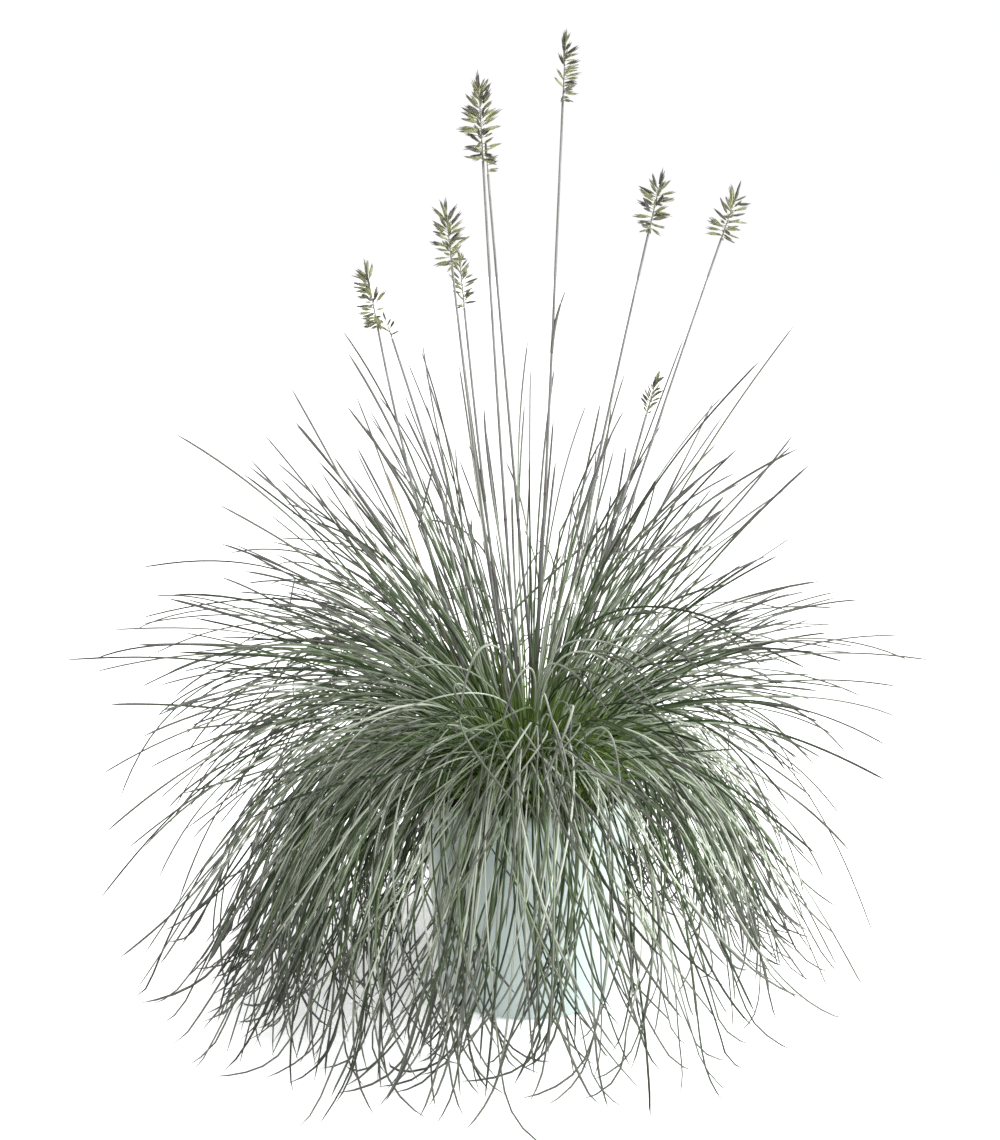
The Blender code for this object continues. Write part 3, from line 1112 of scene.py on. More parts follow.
@dataclass
class Foliage:
    """All leaf tufts, each tuft one joined piece of many blades."""

    pot: Pot
    crown: Crown
    growth: Growth
    form: BladeForm = field(default_factory=BladeForm)
    width: tuple[float, float] = (0.00061, 0.00090)
    keel: float = 0.78
    kinked_share: float = 0.012
    kink_place: tuple[float, float] = (0.45, 0.88)
    kink_fold: tuple[float, float] = (25.0, 80.0)
    kink_swing: float = 55.0
    front_droop: float = 122.0
    reach_limit: float = 0.312
    foot_depth: float = 0.006
    fan_size: int = 7
    sway: float = 5.0
    floor_curl: float = 260.0
    long_trails: float = 0.07
    seed: int = 400

    HABITS = {
        Tier.TRAILING: (
            Habit((2.0, 34.0), (152.0, 176.0), (2.7, 4.4), (0.236, 0.346), (-54.0, 14.0),
                  24.0, 84.0, 1.4, 0.04),
            Habit((12.0, 48.0), (142.0, 172.0), (2.2, 3.8), (0.222, 0.327), (-42.0, 12.0),
                  22.0, 72.0, 1.45, 0.06),
        ),
        Tier.MIDDLE: (
            Habit((12.0, 50.0), (110.0, 162.0), (0.7, 2.0), (0.18, 0.32), (-22.0, 18.0),
                  18.0, 26.0, 1.3, 0.14),
            Habit((12.0, 48.0), (78.0, 128.0), (0.5, 1.5), (0.18, 0.325), (-20.0, 18.0),
                  16.0, 22.0, 1.2, 0.08),
        ),
        Tier.UPPER: (
            Habit((14.0, 46.0), (46.0, 98.0), (0.2, 0.8), (0.17, 0.33), (-14.0, 16.0),
                  17.0, 12.0, 1.0, 0.12),
            Habit((2.0, 26.0), (14.0, 58.0), (0.2, 0.6), (0.18, 0.335), (-10.0, 12.0),
                  13.0, 9.0, 1.0, -0.02),
            Habit((8.0, 36.0), (26.0, 76.0), (0.2, 0.7), (0.17, 0.335), (-12.0, 14.0),
                  15.0, 11.0, 1.0, 0.04),
        ),
        Tier.UPRIGHT: (
            Habit((1.0, 18.0), (3.0, 38.0), (0.2, 0.6), (0.17, 0.32), (-6.0, 8.0), 10.0, 7.0),
        ),
    }
    LENGTHS = (1.0, 0.82, 0.62, 1.16)
    LENGTH_ODDS = (0.62, 0.22, 0.10, 0.06)
    BLADES = {Tier.TRAILING: 118, Tier.MIDDLE: 58, Tier.UPPER: 33, Tier.UPRIGHT: 12}
    FLUSH = {Tier.TRAILING: (0.0, 0.66), Tier.MIDDLE: (0.05, 0.88),
             Tier.UPPER: (0.35, 1.0), Tier.UPRIGHT: (0.35, 1.0)}
    THINNED = {Tier.TRAILING: (0.76, 0.32), Tier.MIDDLE: (0.42, 0.08),
               Tier.UPPER: (0.26, 0.06), Tier.UPRIGHT: (0.0, 0.0)}
    SLENDER = {Tier.TRAILING: 1.0, Tier.MIDDLE: 1.0, Tier.UPPER: 1.10, Tier.UPRIGHT: 1.12}
    FOOT_REACH = {Tier.TRAILING: (0.50, 0.98), Tier.MIDDLE: (0.28, 0.88),
                  Tier.UPPER: (0.08, 0.70), Tier.UPRIGHT: (0.0, 0.42)}
    FAN_SPREAD = {Tier.TRAILING: 0.64, Tier.MIDDLE: 0.74, Tier.UPPER: 0.92, Tier.UPRIGHT: 0.60}
    FAN_NOISE = {Tier.TRAILING: 0.12, Tier.MIDDLE: 0.20, Tier.UPPER: 0.34, Tier.UPRIGHT: 0.70}
    EVENNESS = {Tier.TRAILING: 2.0, Tier.MIDDLE: 3.0, Tier.UPPER: 8.0, Tier.UPRIGHT: 8.0}
    STRAYS = {Tier.TRAILING: 0.02, Tier.MIDDLE: 0.04, Tier.UPPER: 0.02, Tier.UPRIGHT: 0.02}
    WANDER = {Tier.TRAILING: 120.0, Tier.MIDDLE: 110.0, Tier.UPPER: 50.0, Tier.UPRIGHT: 40.0}

    def build(self, leaf: bpy.types.Material) -> None:
        """Grows every tuft in its wedge of the clump.

        Args:
            leaf: The material of the blades.
        """
        template = self.form.build()
        across, along = self.form.columns(template)
        for tier in Tier:
            nodes = sorted(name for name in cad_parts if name.startswith(tier.value))
            for index, node in enumerate(nodes):
                habits = self.HABITS[tier]
                piece = self.grow_tuft(node, tier, habits[index % len(habits)],
                                       len(nodes), template)
                self.lay_map(piece, template, across, along)
                dress(piece, leaf, Slot.BLADE, node)

    def tuft_azimuth(self, node: str) -> float:
        """Works out which way a CAD tuft stands from the axis.

        Args:
            node: The tuft's node.

        Returns:
            Its heading, in radians.
        """
        low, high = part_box(node)
        x, y = (low[0] + high[0]) / 2.0, (low[1] + high[1]) / 2.0
        return math.atan2(y, x)

    def grow_tuft(self, node: str, tier: Tier, habit: Habit, wedges: int,
                  template: Template) -> bpy.types.Object:
        """Grows the blades of one tuft.

        Args:
            node: The CAD tuft that the piece stands for.
            tier: The tier that it belongs to.
            habit: How its blades grow.
            wedges: How many tufts share the full turn.
            template: The blade that is copied.

        Returns:
            The joined piece.
        """
        index = int(node.rsplit("_", 1)[1])
        rng = np.random.default_rng([self.seed, list(Tier).index(tier), index])
        count = self.BLADES[tier]
        fans = max(count // self.fan_size, 1)
        fan = rng.choice(fans, count, p=rng.dirichlet(np.full(fans, self.EVENNESS[tier])))
        fan_turn = rng.uniform(-1.0, 1.0, fans) * (math.tau / wedges) * self.FAN_SPREAD[tier]
        azimuth = (self.tuft_azimuth(node) + fan_turn[fan]
                   + rng.normal(0.0, self.FAN_NOISE[tier], count))
        front = np.clip(-np.sin(azimuth), 0.0, 1.0)
        feet = self.plant(rng, tier, fan, fans, azimuth)
        lean, headings, length = self.bend(rng, tier, habit, fan, fans, azimuth, front)
        curl = np.radians(rng.normal(0.0, self.floor_curl, count))
        points, heading = self.growth.march(self.form.shares(), feet, headings,
                                            np.radians(lean), length, curl)
        trail = rng.uniform(0.0, 0.012 + 0.010 * front, count)
        trail += np.where(rng.uniform(0.0, 1.0, count) < self.long_trails, 0.008 * front, 0.0)
        points, heading = self.end_on_floor(points, heading, trail)
        points = self.rein_in(points)
        rolls = rng.uniform(-0.7, 0.7, count)
        width = rng.uniform(*self.width, count) * self.SLENDER[tier]
        solid = self.sweep(template, points, heading, width, rolls)
        tones = np.empty(solid.shape)
        tones[..., 0] = self.form.shares()[self.form.ring_of(template)][None]
        # Front blades lean to low tints, that is to the pale copies with the painted highlight.
        tones[..., 1] = (rng.uniform(0.0, 1.0, count) ** (1.0 + 0.42 * front))[:, None]
        tones[..., 2] = (rng.uniform(*self.FLUSH[tier], count) * (1.0 - 0.55 * front))[:, None]
        kept = rng.uniform(0.0, 1.0, count) < self.fullness(azimuth, *self.THINNED[tier])
        return joined_mesh(node.replace("leaf_tuft", "blades"), template, solid[kept],
                           tones[kept])

    def plant(self, rng: np.random.Generator, tier: Tier, fan: Array, fans: int,
              azimuth: Array) -> Array:
        """Finds where on the crown each blade starts.

        Args:
            rng: The tuft's random numbers.
            tier: The tuft's tier.
            fan: Which fan each blade is in.
            fans: How many fans there are.
            azimuth: Heading of each blade, in radians.

        Returns:
            The feet, a little under the crown's dome.
        """
        count = len(azimuth)
        fan_reach = rng.uniform(*self.FOOT_REACH[tier], fans)
        reach = self.crown.radius * np.clip(fan_reach[fan] + rng.normal(0.0, 0.06, count),
                                            0.0, 0.99)
        turn = azimuth + rng.normal(0.0, 0.16, count)
        return np.stack([reach * np.cos(turn), reach * np.sin(turn),
                         self.crown.top(reach) - self.foot_depth], axis=1)

    def bend(self, rng: np.random.Generator, tier: Tier, habit: Habit, fan: Array, fans: int,
             azimuth: Array, front: Array) -> tuple[Array, Array, Array]:
        """Works out how each blade leans and turns from its foot to its tip.

        Args:
            rng: The tuft's random numbers.
            tier: The tuft's tier.
            habit: How its blades grow.
            fan: Which fan each blade is in.
            fans: How many fans there are.
            azimuth: Heading of each blade, in radians.
            front: How much each blade heads to the front, from 0 to 1.

        Returns:
            Lean of each step in degrees, heading of each step in radians, and
            the lengths.
        """
        count = len(azimuth)
        shares = self.form.shares()
        middles = (shares[1:] + shares[:-1]) / 2.0
        lean_foot = self.draw(rng, habit.lean_foot, 0.35, fan, fans)
        lean_tip = np.maximum(self.draw(rng, habit.lean_tip, 0.45, fan, fans),
                              self.front_droop * front**3)
        pull = self.draw(rng, habit.bend, 0.50, fan, fans)[:, None] ** habit.onset
        length = (self.draw(rng, habit.length, 0.30, fan, fans)
                  * (1.0 - habit.lopsided * (0.4 + np.cos(azimuth))))
        length *= 1.0 + 0.02 * front
        length *= rng.choice(self.LENGTHS, count, p=self.LENGTH_ODDS)
        hook = self.draw(rng, habit.hook, 0.35, fan, fans)
        turned = (1.0 - np.exp(-pull * middles**habit.onset)) / (1.0 - np.exp(-pull))
        late = np.clip((middles - 0.5) / 0.5, 0.0, 1.0) ** 1.8
        lean = lean_foot[:, None] + (lean_tip - lean_foot)[:, None] * turned + hook[:, None] * late
        drift = rng.normal(0.0, habit.drift, count)[:, None] * middles ** 1.6
        turning = np.clip((middles - 0.25) / 0.75, 0.0, 1.0) ** 1.4
        drift += rng.normal(0.0, habit.swing, count)[:, None] * turning
        stray = rng.uniform(0.0, 1.0, count) < self.STRAYS[tier]
        wander = rng.uniform(0.3, 1.0, count) * rng.choice([-1.0, 1.0], count) * self.WANDER[tier]
        drift += np.where(stray, wander, 0.0)[:, None] * middles
        sway = self.sway * np.sin(middles * rng.uniform(1.5, 6.0, (count, 1))
                                  + rng.uniform(0.0, math.tau, (count, 1)))
        headings = azimuth[:, None] + np.radians(drift + sway)
        return *self.kink(rng, middles, lean + sway * 0.8, headings), length

    @staticmethod
    def draw(rng: np.random.Generator, limits: tuple[float, float], together: float,
             fan: Array, fans: int) -> Array:
        """Draws a value for each blade, partly shared within its fan.

        Args:
            rng: The tuft's random numbers.
            limits: The lowest and highest value.
            together: How much of the value is the fan's, from 0 to 1.
            fan: Which fan each blade is in.
            fans: How many fans there are.

        Returns:
            The values.
        """
        shared = rng.uniform(0.0, 1.0, fans)[fan]
        own = rng.uniform(0.0, 1.0, len(fan))
        return limits[0] + (limits[1] - limits[0]) * (shared * together + own * (1.0 - together))

    @staticmethod
    def fullness(azimuth: Array, right_loss: float, left_loss: float) -> Array:
        """Works out the share of blades that grows at each heading.

        Args:
            azimuth: Heading of each blade, in radians.
            right_loss: The share that is missing to the front right.
            left_loss: The share that is missing to the left.

        Returns:
            The shares, from 0 to 1.
        """
        right = (azimuth + math.radians(32.0) + math.pi) % math.tau - math.pi
        left = azimuth % math.tau - math.pi
        return (1.0 - right_loss * np.exp(-((right / math.radians(52.0)) ** 2))
                - left_loss * np.exp(-((left / math.radians(38.0)) ** 2)))

    def kink(self, rng: np.random.Generator, middles: Array, lean: Array,
             headings: Array) -> tuple[Array, Array]:
        """Breaks a few blades, which fold sharply from the break on.

        Args:
            rng: The tuft's random numbers.
            middles: Step places from 0 to 1.
            lean: Lean of each step, in degrees.
            headings: Heading of each step, in radians.

        Returns:
            The lean and the headings with the breaks in them.
        """
        count = len(lean)
        broken = rng.uniform(0.0, 1.0, count) < self.kinked_share
        at = rng.uniform(*self.kink_place, count)
        beyond = (middles[None] > at[:, None]) & broken[:, None]
        fold = rng.uniform(*self.kink_fold, count)[:, None]
        swing = np.radians(rng.normal(0.0, self.kink_swing, count))[:, None]
        return np.where(beyond, lean + fold, lean), np.where(beyond, headings + swing, headings)

    def end_on_floor(self, points: Array, heading: Array, trail: Array) -> tuple[Array, Array]:
        """Ends blades soon after they come to lie on the floor.

        Args:
            points: Path points, blades by rings by three.
            heading: Heading at each ring.
            trail: How much of each blade may lie on the floor, in metres.

        Returns:
            The points and headings, spaced along the shorter paths.
        """
        shares = self.form.shares()
        runs = np.linalg.norm(np.diff(points, axis=1), axis=2)
        arcs = np.concatenate([np.zeros((len(points), 1)), np.cumsum(runs, axis=1)], axis=1)
        lying = points[..., 2] < self.growth.floor_clearance + 0.009
        landed = lying.any(axis=1)
        landing = arcs[np.arange(len(points)), lying.argmax(axis=1)]
        total = arcs[:, -1]
        ends = np.where(landed, np.minimum(landing + trail, total), total)
        out, turns = points.copy(), heading.copy()
        for blade in np.nonzero(ends < total)[0]:
            stations = shares * ends[blade]
            for part in range(3):
                out[blade, :, part] = np.interp(stations, arcs[blade], points[blade, :, part])
            turns[blade] = np.interp(stations, arcs[blade], heading[blade])
        return out, turns

    def rein_in(self, points: Array) -> Array:
        """Shrinks blades that pass the clump's reach towards their feet.

        Args:
            points: Path points, blades by rings by three.

        Returns:
            The points, none past the clump's reach.
        """
        reach = np.hypot(points[..., 0], points[..., 1]).max(axis=1)
        ratio = np.minimum(1.0, self.reach_limit / reach)[:, None, None]
        feet = points[:, :1]
        drawn = feet + (points - feet) * ratio
        drawn[..., 2] = np.maximum(drawn[..., 2], self.growth.floor_clearance)
        return drawn

    def sweep(self, template: Template, points: Array, heading: Array, width: Array,
              rolls: Array) -> Array:
        """Bends the template along each path.

        Args:
            template: The blade that is copied.
            points: Path points, blades by rings by three.
            heading: Heading at each ring.
            width: Half width of each blade.
            rolls: Turn of each blade about its own line.

        Returns:
            The points of every blade.
        """
        tangent = np.empty_like(points)
        tangent[:, 1:-1] = points[:, 2:] - points[:, :-2]
        tangent[:, 0] = points[:, 1] - points[:, 0]
        tangent[:, -1] = points[:, -1] - points[:, -2]
        tangent = unit(tangent)
        side = np.stack([-np.sin(heading), np.cos(heading), np.zeros_like(heading)], axis=2)
        side = unit(side - tangent * (side * tangent).sum(axis=2, keepdims=True))
        back = np.cross(side, tangent)
        shares = self.form.shares()
        taper = np.interp(shares, [0.0, 0.10, 0.45, 0.75, 0.94, 1.0],
                          [0.80, 0.90, 0.96, 1.06, 1.04, 0.66])
        roll = rolls[:, None] * (1.0 + 1.5 * shares[None])
        cos, sin = np.cos(roll)[..., None], np.sin(roll)[..., None]
        across = side * cos + back * sin
        deep = back * cos - side * sin
        half = (width[:, None] * taper[None])[..., None]
        ring = self.form.ring_of(template)
        local = template.points
        return (points[:, ring] + across[:, ring] * half[:, ring] * local[None, :, 0:1]
                + deep[:, ring] * half[:, ring] * self.keel * local[None, :, 1:2])

    def lay_map(self, piece: bpy.types.Object, template: Template, across: Array,
                along: Array) -> None:
        """Lays each blade in its own column of the piece's map.

        Args:
            piece: The joined piece.
            template: The blade that was copied.
            across: Each corner's place across its column.
            along: Each corner's place along its column.
        """
        copies = len(piece.data.vertices) // len(template.points)
        column = (np.arange(copies)[:, None] + 0.04 + 0.92 * across[None]) / copies
        height = np.broadcast_to(0.01 + 0.98 * along[None], column.shape)
        layer = piece.data.uv_layers.new(name=BAKE_MAP)
        layer.data.foreach_set(
            "uv", np.stack([column, height], axis=2).astype(np.float32).ravel())


# ---------------------------------------------------------------------------
# Culms and flower heads
# ---------------------------------------------------------------------------
@dataclass(frozen=True)
class CulmPlan:
    """Where one flowering culm runs, and the flower head on it."""

    foot: tuple[float, float]
    top: tuple[float, float, float]
    bow: float
    head_length: float
    head_radius: float
    spikelets: int
    spread: tuple[float, float]
    heavy_side: tuple[float, float] = (0.0, 0.0)
    flag_leaf: float = 0.0
    flag_share: float = 0.58


CULM_PLANS = (
    CulmPlan((-0.0215, 0.0), (-0.1000, 0.0, 0.461), 0.012, 0.040, 0.0108, 60,
             (112.0, 38.0), (-0.75, 0.0)),
    CulmPlan((-0.0080, 0.0), (-0.0910, 0.0110, 0.452), -0.006, 0.014, 0.0045, 6,
             (60.0, 20.0), (0.5, -0.3)),
    CulmPlan((-0.0060, -0.0030), (-0.0500, -0.0200, 0.500), 0.004, 0.038, 0.0120, 54,
             (92.0, 26.0)),
    CulmPlan((-0.0060, 0.0050), (-0.0430, 0.0240, 0.472), 0.004, 0.036, 0.0085, 32,
             (86.0, 30.0), (0.2, -0.4), 0.040),
    CulmPlan((-0.0030, -0.0005), (-0.0300, -0.0040, 0.567), 0.002, 0.053, 0.0135, 76,
             (98.0, 30.0), (0.0, -0.3)),
    CulmPlan((0.0095, 0.0180), (-0.0270, 0.0320, 0.560), 0.002, 0.015, 0.0070, 5,
             (80.0, 50.0), (1.8, 0.0)),
    CulmPlan((0.0030, 0.0010), (0.0220, 0.0100, 0.606), 0.001, 0.044, 0.0085, 44,
             (92.0, 34.0), (0.7, -0.2), 0.042, 0.632),
    CulmPlan((0.0065, 0.0035), (0.0810, 0.0300, 0.523), -0.004, 0.034, 0.0135, 46,
             (100.0, 46.0)),
    CulmPlan((0.0140, 0.0048), (0.1315, 0.0450, 0.518), -0.004, 0.033, 0.0120, 44,
             (98.0, 34.0), (0.1, 0.0)),
    CulmPlan((0.0130, -0.0050), (0.0760, -0.0310, 0.405), 0.0, 0.026, 0.0062, 30,
             (54.0, 14.0), (0.0, -0.2), 0.030),
)


@dataclass
class FlowerStand:
    """The culms with their joints, and the heads of loose spikelets."""

    crown: Crown
    foot_clearance: float = 0.0012
    foot_radius: float = 0.00112
    top_radius: float = 0.00080
    rings: int = 40
    joint_shares: tuple[float, ...] = (0.16, 0.42)
    seed: int = 77

    def line(self, plan: CulmPlan, shares: Array) -> tuple[Array, Array]:
        """Returns points and directions along a culm's bow.

        Args:
            plan: The culm's run.
            shares: Places from 0 at the foot to 1 at the head.

        Returns:
            Points and unit directions.
        """
        reach = math.hypot(*plan.foot)
        foot = np.array([*plan.foot, float(self.crown.top(np.array(reach))) + self.foot_clearance])
        top = np.array(plan.top)
        outward = unit(np.array([top[0], top[1], 0.0]))
        control = (foot + top) / 2.0 + outward * plan.bow
        s = shares[:, None]
        points = foot * (1 - s) ** 2 + control * 2 * s * (1 - s) + top * s**2
        slopes = 2 * (1 - s) * (control - foot) + 2 * s * (top - control)
        return points, unit(slopes)

    def build(self, leaf: bpy.types.Material) -> None:
        """Models every culm and flower head.

        Args:
            leaf: The material of the thin leaves on the culms.
        """
        stalk = self.stalk_template()
        spikelet = self.spikelet_template()
        skin = StalkSkin().build()
        scales = SpikeletScale().build()
        for index, plan in enumerate(CULM_PLANS, 1):
            culm = self.build_culm(index, plan, stalk)
            dress(culm, skin, Slot.CULM, f"culm_{index:02d}")
            if plan.flag_leaf:
                flag = self.build_flag(index, plan, stalk)
                dress(flag, leaf, Slot.BLADE)
            head = self.build_head(index, plan, stalk, spikelet)
            dress(head, scales, Slot.FLOWER, f"flower_head_{index:02d}")

    def stalk_template(self) -> Template:
        """Models a six-sided rod, one unit tall, with many rings.

        Returns:
            The rod.
        """
        deselect_all()
        bpy.ops.mesh.primitive_cylinder_add(vertices=6, radius=1.0, depth=1.0,
                                            location=(0.0, 0.0, 0.5))
        rod = bpy.context.object
        bpy.ops.object.transform_apply(location=True)
        bpy.ops.object.mode_set(mode="EDIT")
        pick(rod, "EDGE", lambda run: abs(run.z) > 0.5)
        bpy.ops.mesh.subdivide(number_cuts=self.rings - 1)
        bpy.ops.object.mode_set(mode="OBJECT")
        return Template.take(rod)

    def swept_rod(self, template: Template, points: Array, directions: Array,
                  radii: Array) -> Array:
        """Bends the rod along a line.

        Args:
            template: The rod.
            points: The line's point at each ring.
            directions: The line's direction at each ring.
            radii: The radius at each ring.

        Returns:
            The rod's points.
        """
        ring = np.rint(template.points[:, 2] * self.rings).astype(int)
        turns = aim(directions, np.zeros(len(directions)))
        local = template.points.copy()
        local[:, 2] = 0.0
        local[:, :2] *= radii[ring][:, None]
        return np.einsum("vij,vj->vi", turns[ring], local) + points[ring]

    def build_culm(self, index: int, plan: CulmPlan, rod: Template) -> bpy.types.Object:
        """Models one culm with swollen dark joints.

        Args:
            index: The culm's number.
            plan: The culm's run.
            rod: The rod that is bent into the culm.

        Returns:
            The culm.
        """
        shares = np.linspace(0.0, 1.0, self.rings + 1)
        for joint in self.joint_shares:
            nearest = int(np.abs(shares - joint).argmin())
            shares[nearest - 1:nearest + 2] = [joint - 0.004, joint, joint + 0.004]
        points, directions = self.line(plan, shares)
        radii = self.foot_radius + (self.top_radius - self.foot_radius) * shares
        dark = np.zeros(self.rings + 1)
        for joint in self.joint_shares:
            radii = radii + 0.00035 * np.exp(-((shares - joint) / 0.004) ** 2)
            dark = np.maximum(dark, np.exp(-((shares - joint) / 0.005) ** 2))
        solid = self.swept_rod(rod, points, directions, radii)[None]
        ring = np.rint(rod.points[:, 2] * self.rings).astype(int)
        tones = np.zeros(solid.shape)
        tones[0, :, 0] = shares[ring]
        tones[0, :, 2] = dark[ring]
        return joined_mesh(f"stalk_{index:02d}", rod, solid, tones)

    def build_flag(self, index: int, plan: CulmPlan, rod: Template) -> bpy.types.Object:
        """Models the short leaf that leaves a culm at its upper joint.

        Args:
            index: The culm's number.
            plan: The culm's run and the leaf's length.
            rod: The rod that is flattened and bent into the leaf.

        Returns:
            The leaf.
        """
        start, along = self.line(plan, np.array([plan.flag_share]))
        lean = unit(along[0] + np.array([0.36, -0.05, 0.0]) * math.copysign(1.0, plan.top[0]))
        shares = np.linspace(0.0, 1.0, self.rings + 1)[:, None]
        reach = shares * plan.flag_leaf
        points = start + along * reach * (1.0 - shares * 0.5) + lean * reach * shares * 0.5
        directions = unit(np.gradient(points, axis=0))
        radii = np.interp(shares[:, 0], [0.0, 0.15, 0.6, 1.0], [0.0011, 0.0012, 0.0010, 0.00030])
        solid = self.swept_rod(rod, points, directions, radii)[None]
        ring = np.rint(rod.points[:, 2] * self.rings).astype(int)
        tones = np.full(solid.shape, 0.6)
        tones[0, :, 0] = 0.80 + 0.16 * shares[ring, 0]
        piece = joined_mesh(f"flag_leaf_{index:02d}", rod, solid, tones)
        layer = piece.data.uv_layers.new(name=BAKE_MAP)
        angle = np.arctan2(rod.points[:, 1], rod.points[:, 0])[rod.loops] / math.tau % 1.0
        starts = np.concatenate(([0], np.cumsum(rod.counts)[:-1]))
        for first, number in zip(starts, rod.counts):
            corners = angle[first:first + number]
            if number == 4 and corners.max() - corners.min() > 0.5:
                angle[first:first + number] = np.where(corners < 0.5, 1.0, corners)
        height = 0.02 + 0.96 * rod.points[rod.loops, 2]
        layer.data.foreach_set(
            "uv", np.stack([0.02 + 0.96 * angle, height], axis=1).astype(np.float32).ravel())
        return piece

    def spikelet_template(self) -> Template:
        """Models one spikelet: pointed scales set left and right in turn.

        Returns:
            The spikelet, about one unit tall.
        """
        parts = []
        scales_in_spikelet = 4
        for number in range(scales_in_spikelet):
            deselect_all()
            bpy.ops.mesh.primitive_cone_add(vertices=4, radius1=0.06, radius2=0.0, depth=1.0,
                                            location=(0.0, 0.0, 0.5))
            scale = bpy.context.object
            bpy.ops.object.transform_apply(location=True)
            bpy.ops.object.mode_set(mode="EDIT")
            pick(scale, "EDGE", lambda run: abs(run.z) > 0.5)
            bpy.ops.mesh.subdivide(number_cuts=2)
            for level, girth in ((1 / 3, 2.8), (2 / 3, 3.7)):
                pick(scale, "VERT", lambda place, z=level: abs(place.z - z) < 0.05)
                bpy.ops.transform.resize(value=(girth * 0.62, girth, 1.0),
                                         center_override=(0.0, 0.0, level))
            bpy.ops.object.mode_set(mode="OBJECT")
            share = number / (scales_in_spikelet - 1)
            side = 1.0 if number % 2 else -1.0
            size = 0.66 - 0.08 * share
            scale.rotation_euler = Euler((0.0, side * (0.16 - 0.11 * share), 0.0))
            scale.scale = (size, size, size)
            scale.location = (side * 0.018, 0.0, 0.40 * share)
            bpy.ops.object.transform_apply(location=True, rotation=True, scale=True)
            parts.append(scale)
        return Template.take(join_pieces("spikelet", parts))

    def build_head(self, index: int, plan: CulmPlan, rod: Template,
                   spikelet: Template) -> bpy.types.Object:
        """Models one flower head.

        Args:
            index: The culm's number.
            plan: The culm's run and the head's size.
            rod: The rod that the axis and branches copy.
            spikelet: The spikelet that is copied.

        Returns:
            The head as one piece.
        """
        rng = np.random.default_rng([self.seed, index])
        _, ends = self.line(plan, np.array([1.0]))
        axis = ends[0]
        start = np.array(plan.top) + axis * 0.0003
        axis_length = plan.head_length * 0.84
        count = plan.spikelets
        share = (np.arange(count) + rng.uniform(0.0, 0.7, count)) / count
        share = np.clip(share, 0.0, 1.0) ** 1.08
        turn = GOLDEN_TURN * np.arange(count) + rng.normal(0.0, 0.7, count)
        frame_turn = aim(axis[None], np.zeros(1))[0]
        lowest, highest = plan.spread
        spread = np.radians(lowest + (highest - lowest) * share**1.2
                            + rng.normal(0.0, 12.0, count))
        spread[-1] = 0.05
        radial = np.stack([np.cos(turn), np.sin(turn), np.zeros(count)], axis=1)
        local = radial * np.sin(spread)[:, None]
        local[:, 2] = np.cos(spread)
        pull = np.array([*plan.heavy_side, 0.0]) * np.sin(spread)[:, None]
        pull[-1] = 0.0
        directions = unit(local @ frame_turn.T + pull)
        roots = start + axis * (axis_length * share)[:, None]
        swell = np.sin(math.pi * (0.14 + 0.70 * share))
        stalk = plan.head_radius * swell * rng.uniform(0.08, 0.36, count)
        stalk[-1] = 0.001
        places = roots + directions * stalk[:, None]
        length = rng.uniform(0.0074, 0.0112, count) * (plan.head_radius / 0.0105) ** 0.4
        length *= 0.80 + 0.28 * swell
        length[-1] *= 1.30
        girth = length * rng.uniform(0.85, 1.15, count)
        points = spikelet.stamp(aim(directions, rng.uniform(0.0, math.tau, count)),
                                np.stack([girth, girth, length], axis=1), places)
        tones = np.empty(points.shape)
        tones[..., 0] = spikelet.points[:, 2][None]
        tones[..., 1] = rng.uniform(0.0, 1.0, count)[:, None]
        tones[..., 2] = 0.0
        parts = [joined_mesh("spikelets", spikelet, points, tones)]
        rod_shares = np.linspace(0.0, 1.0, self.rings + 1)
        line = start + axis * (axis_length * rod_shares)[:, None]
        wave = np.sin(rod_shares * 26.0)[:, None] * frame_turn[:, 0] * 0.00025
        radii = 0.00045 - 0.00025 * rod_shares
        solid = self.swept_rod(rod, line + wave, np.tile(axis, (self.rings + 1, 1)), radii)[None]
        parts.append(joined_mesh("axis", rod, solid, np.full(solid.shape, 0.66)))
        parts.append(self.build_branches(roots, places + directions * 0.0008))
        return join_pieces(f"spikelets_{index:02d}", parts)

    def build_branches(self, roots: Array, ends: Array) -> bpy.types.Object:
        """Models hair-thin branches from the axis to each spikelet.

        Args:
            roots: Where each branch leaves the axis.
            ends: Where each branch meets its spikelet.

        Returns:
            The branches as one piece.
        """
        deselect_all()
        bpy.ops.mesh.primitive_cylinder_add(vertices=4, radius=1.0, depth=1.0,
                                            location=(0.0, 0.0, 0.5))
        twig = bpy.context.object
        bpy.ops.object.transform_apply(location=True)
        bpy.ops.object.mode_set(mode="EDIT")
        pick(twig, "VERT", lambda place: place.z > 0.5)
        bpy.ops.transform.resize(value=(0.7, 0.7, 1.0), center_override=(0.0, 0.0, 1.0))
        bpy.ops.object.mode_set(mode="OBJECT")
        template = Template.take(twig)
        run = ends - roots
        length = np.linalg.norm(run, axis=1)
        thin = np.full(len(run), 0.00020)
        points = template.stamp(aim(unit(run), np.zeros(len(run))),
                                np.stack([thin, thin, length], axis=1), roots)
        return joined_mesh("branches", template, points, np.full(points.shape, 0.66))


# ---------------------------------------------------------------------------
# Studio
# ---------------------------------------------------------------------------
@dataclass(frozen=True)
class Lamp:
    """One square soft light: where it hangs, its side length and its watts."""

    name: str
    place: tuple[float, float, float]
    size: float
    power: float


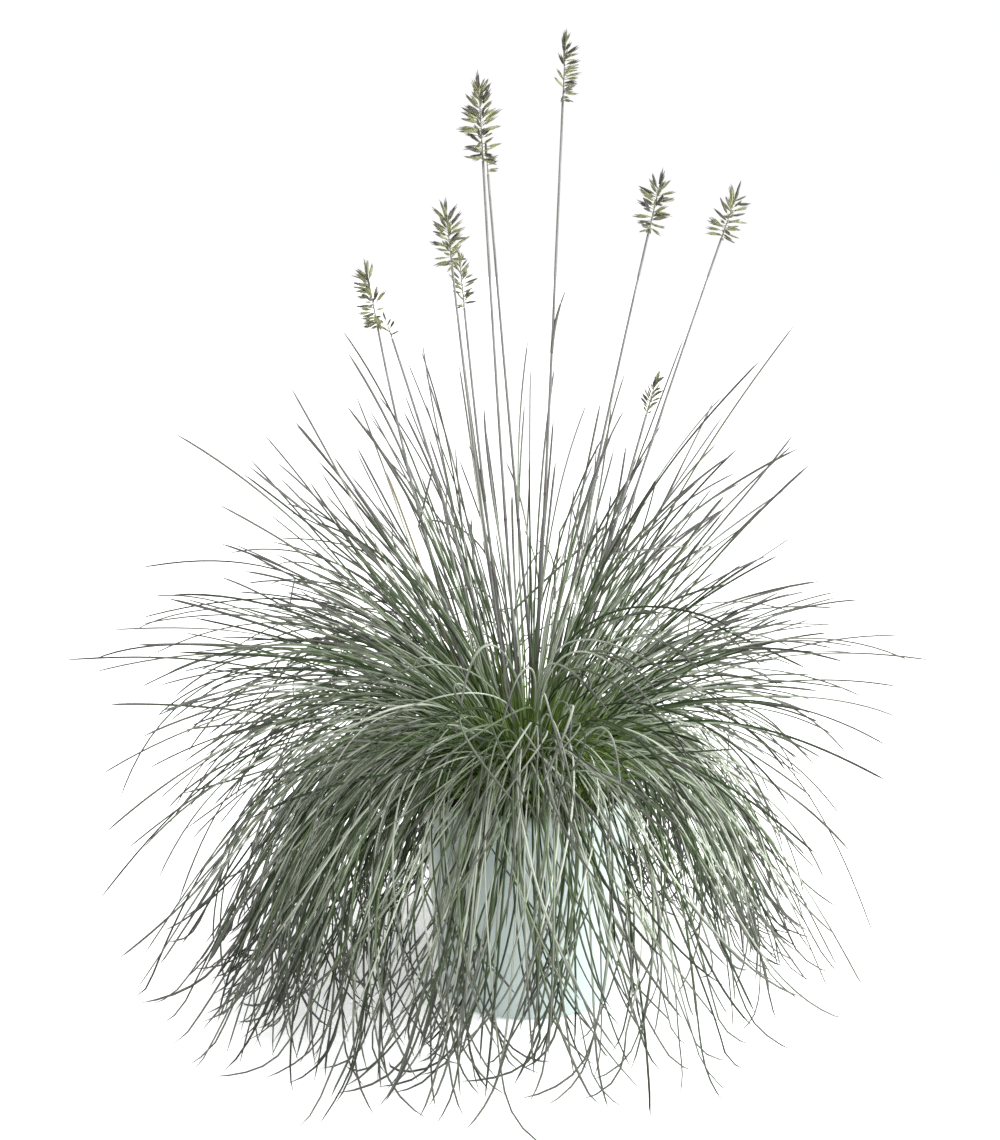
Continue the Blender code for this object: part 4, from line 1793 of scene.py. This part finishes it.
@dataclass
class Studio:
    """The pale floor, soft lights and the camera."""

    lamps: tuple[Lamp, ...] = (Lamp("key", (1.40, -0.40, 0.90), 1.5, 58.0),
                               Lamp("fill", (-1.3, -1.2, 1.0), 1.4, 3.0),
                               Lamp("back", (0.25, 1.4, 1.5), 1.0, 7.0))
    lamp_target: tuple[float, float, float] = (0.0, 0.0, 0.22)
    sun_run: tuple[float, float, float] = (-0.25, 0.62, -1.0)
    sun_power: float = 1.9
    sun_spread: float = 24.0
    room_light: float = 1.02
    camera_place: tuple[float, float, float] = (-0.019, -1.21, 0.5125)
    camera_pitch: float = -10.1
    focal: float = 57.4
    sensor: float = 36.0
    floor_size: float = 60.0

    def build(self) -> None:
        """Sets up everything round the object."""
        self.lay_floor()
        self.light_world()
        for lamp in self.lamps:
            self.hang_lamp(lamp)
        self.raise_sun()
        self.place_camera()

    def lay_floor(self) -> None:
        """Lays the floor just under the object."""
        deselect_all()
        bpy.ops.mesh.primitive_grid_add(x_subdivisions=4, y_subdivisions=4,
                                        size=self.floor_size, location=(0.0, 0.0, 0.0))
        floor = bpy.context.object
        floor.name = "floor"
        floor.data.materials.append(PaleFloor().build())

    def light_world(self) -> None:
        """Fills the surroundings with even white light."""
        world = bpy.data.worlds.new("white_room")
        bpy.context.scene.world = world
        world.use_nodes = True
        background = world.node_tree.nodes["Background"]
        background.inputs["Color"].default_value = (1.0, 1.0, 1.0, 1.0)
        background.inputs["Strength"].default_value = self.room_light

    def hang_lamp(self, lamp: Lamp) -> None:
        """Hangs one soft light so that it faces the clump.

        Args:
            lamp: The light.
        """
        light = bpy.data.lights.new(lamp.name, "AREA")
        light.size = lamp.size
        light.energy = lamp.power
        holder = bpy.data.objects.new(lamp.name, light)
        holder.location = lamp.place
        look = Vector(self.lamp_target) - Vector(lamp.place)
        holder.rotation_euler = look.to_track_quat("-Z", "Y").to_euler()
        bpy.context.scene.collection.objects.link(holder)

    def raise_sun(self) -> None:
        """Adds a broad even light from the upper right for the whole floor."""
        light = bpy.data.lights.new("sun", "SUN")
        light.energy = self.sun_power
        light.angle = math.radians(self.sun_spread)
        holder = bpy.data.objects.new("sun", light)
        holder.rotation_euler = Vector(self.sun_run).to_track_quat("-Z", "Y").to_euler()
        bpy.context.scene.collection.objects.link(holder)

    def place_camera(self) -> None:
        """Sets the camera a little above the clump, looking slightly down."""
        lens = bpy.data.cameras.new("camera")
        lens.lens = self.focal
        lens.sensor_width = self.sensor
        lens.clip_start = 0.01
        holder = bpy.data.objects.new("camera", lens)
        holder.location = self.camera_place
        holder.rotation_euler = (math.radians(90.0 + self.camera_pitch), 0.0, 0.0)
        bpy.context.scene.collection.objects.link(holder)
        bpy.context.scene.camera = holder


def main() -> None:
    """Builds the clump from the pot up, then the studio round it."""
    logging.basicConfig(level=logging.INFO, format="%(name)s: %(message)s")
    bpy.context.scene.view_settings.view_transform = "Standard"
    leaf = LeafTissue(
        name="leaf_tissue", foot=(0.34, 0.42, 0.085), low=(0.150, 0.240, 0.045),
        middle=(0.082, 0.117, 0.052), bloom_and_highlight=(0.36, 0.395, 0.325), tip=(0.064, 0.068, 0.055)).build()
    pot = Pot()
    pot.build()
    soil = SoilBed(pot)
    soil.build()
    crown = Crown()
    crown.build(leaf)
    Foliage(pot, crown, Growth(pot, soil.level)).build(leaf)
    FlowerStand(crown).build(leaf)
    Studio().build()


if __name__ == "__main__":
    main()
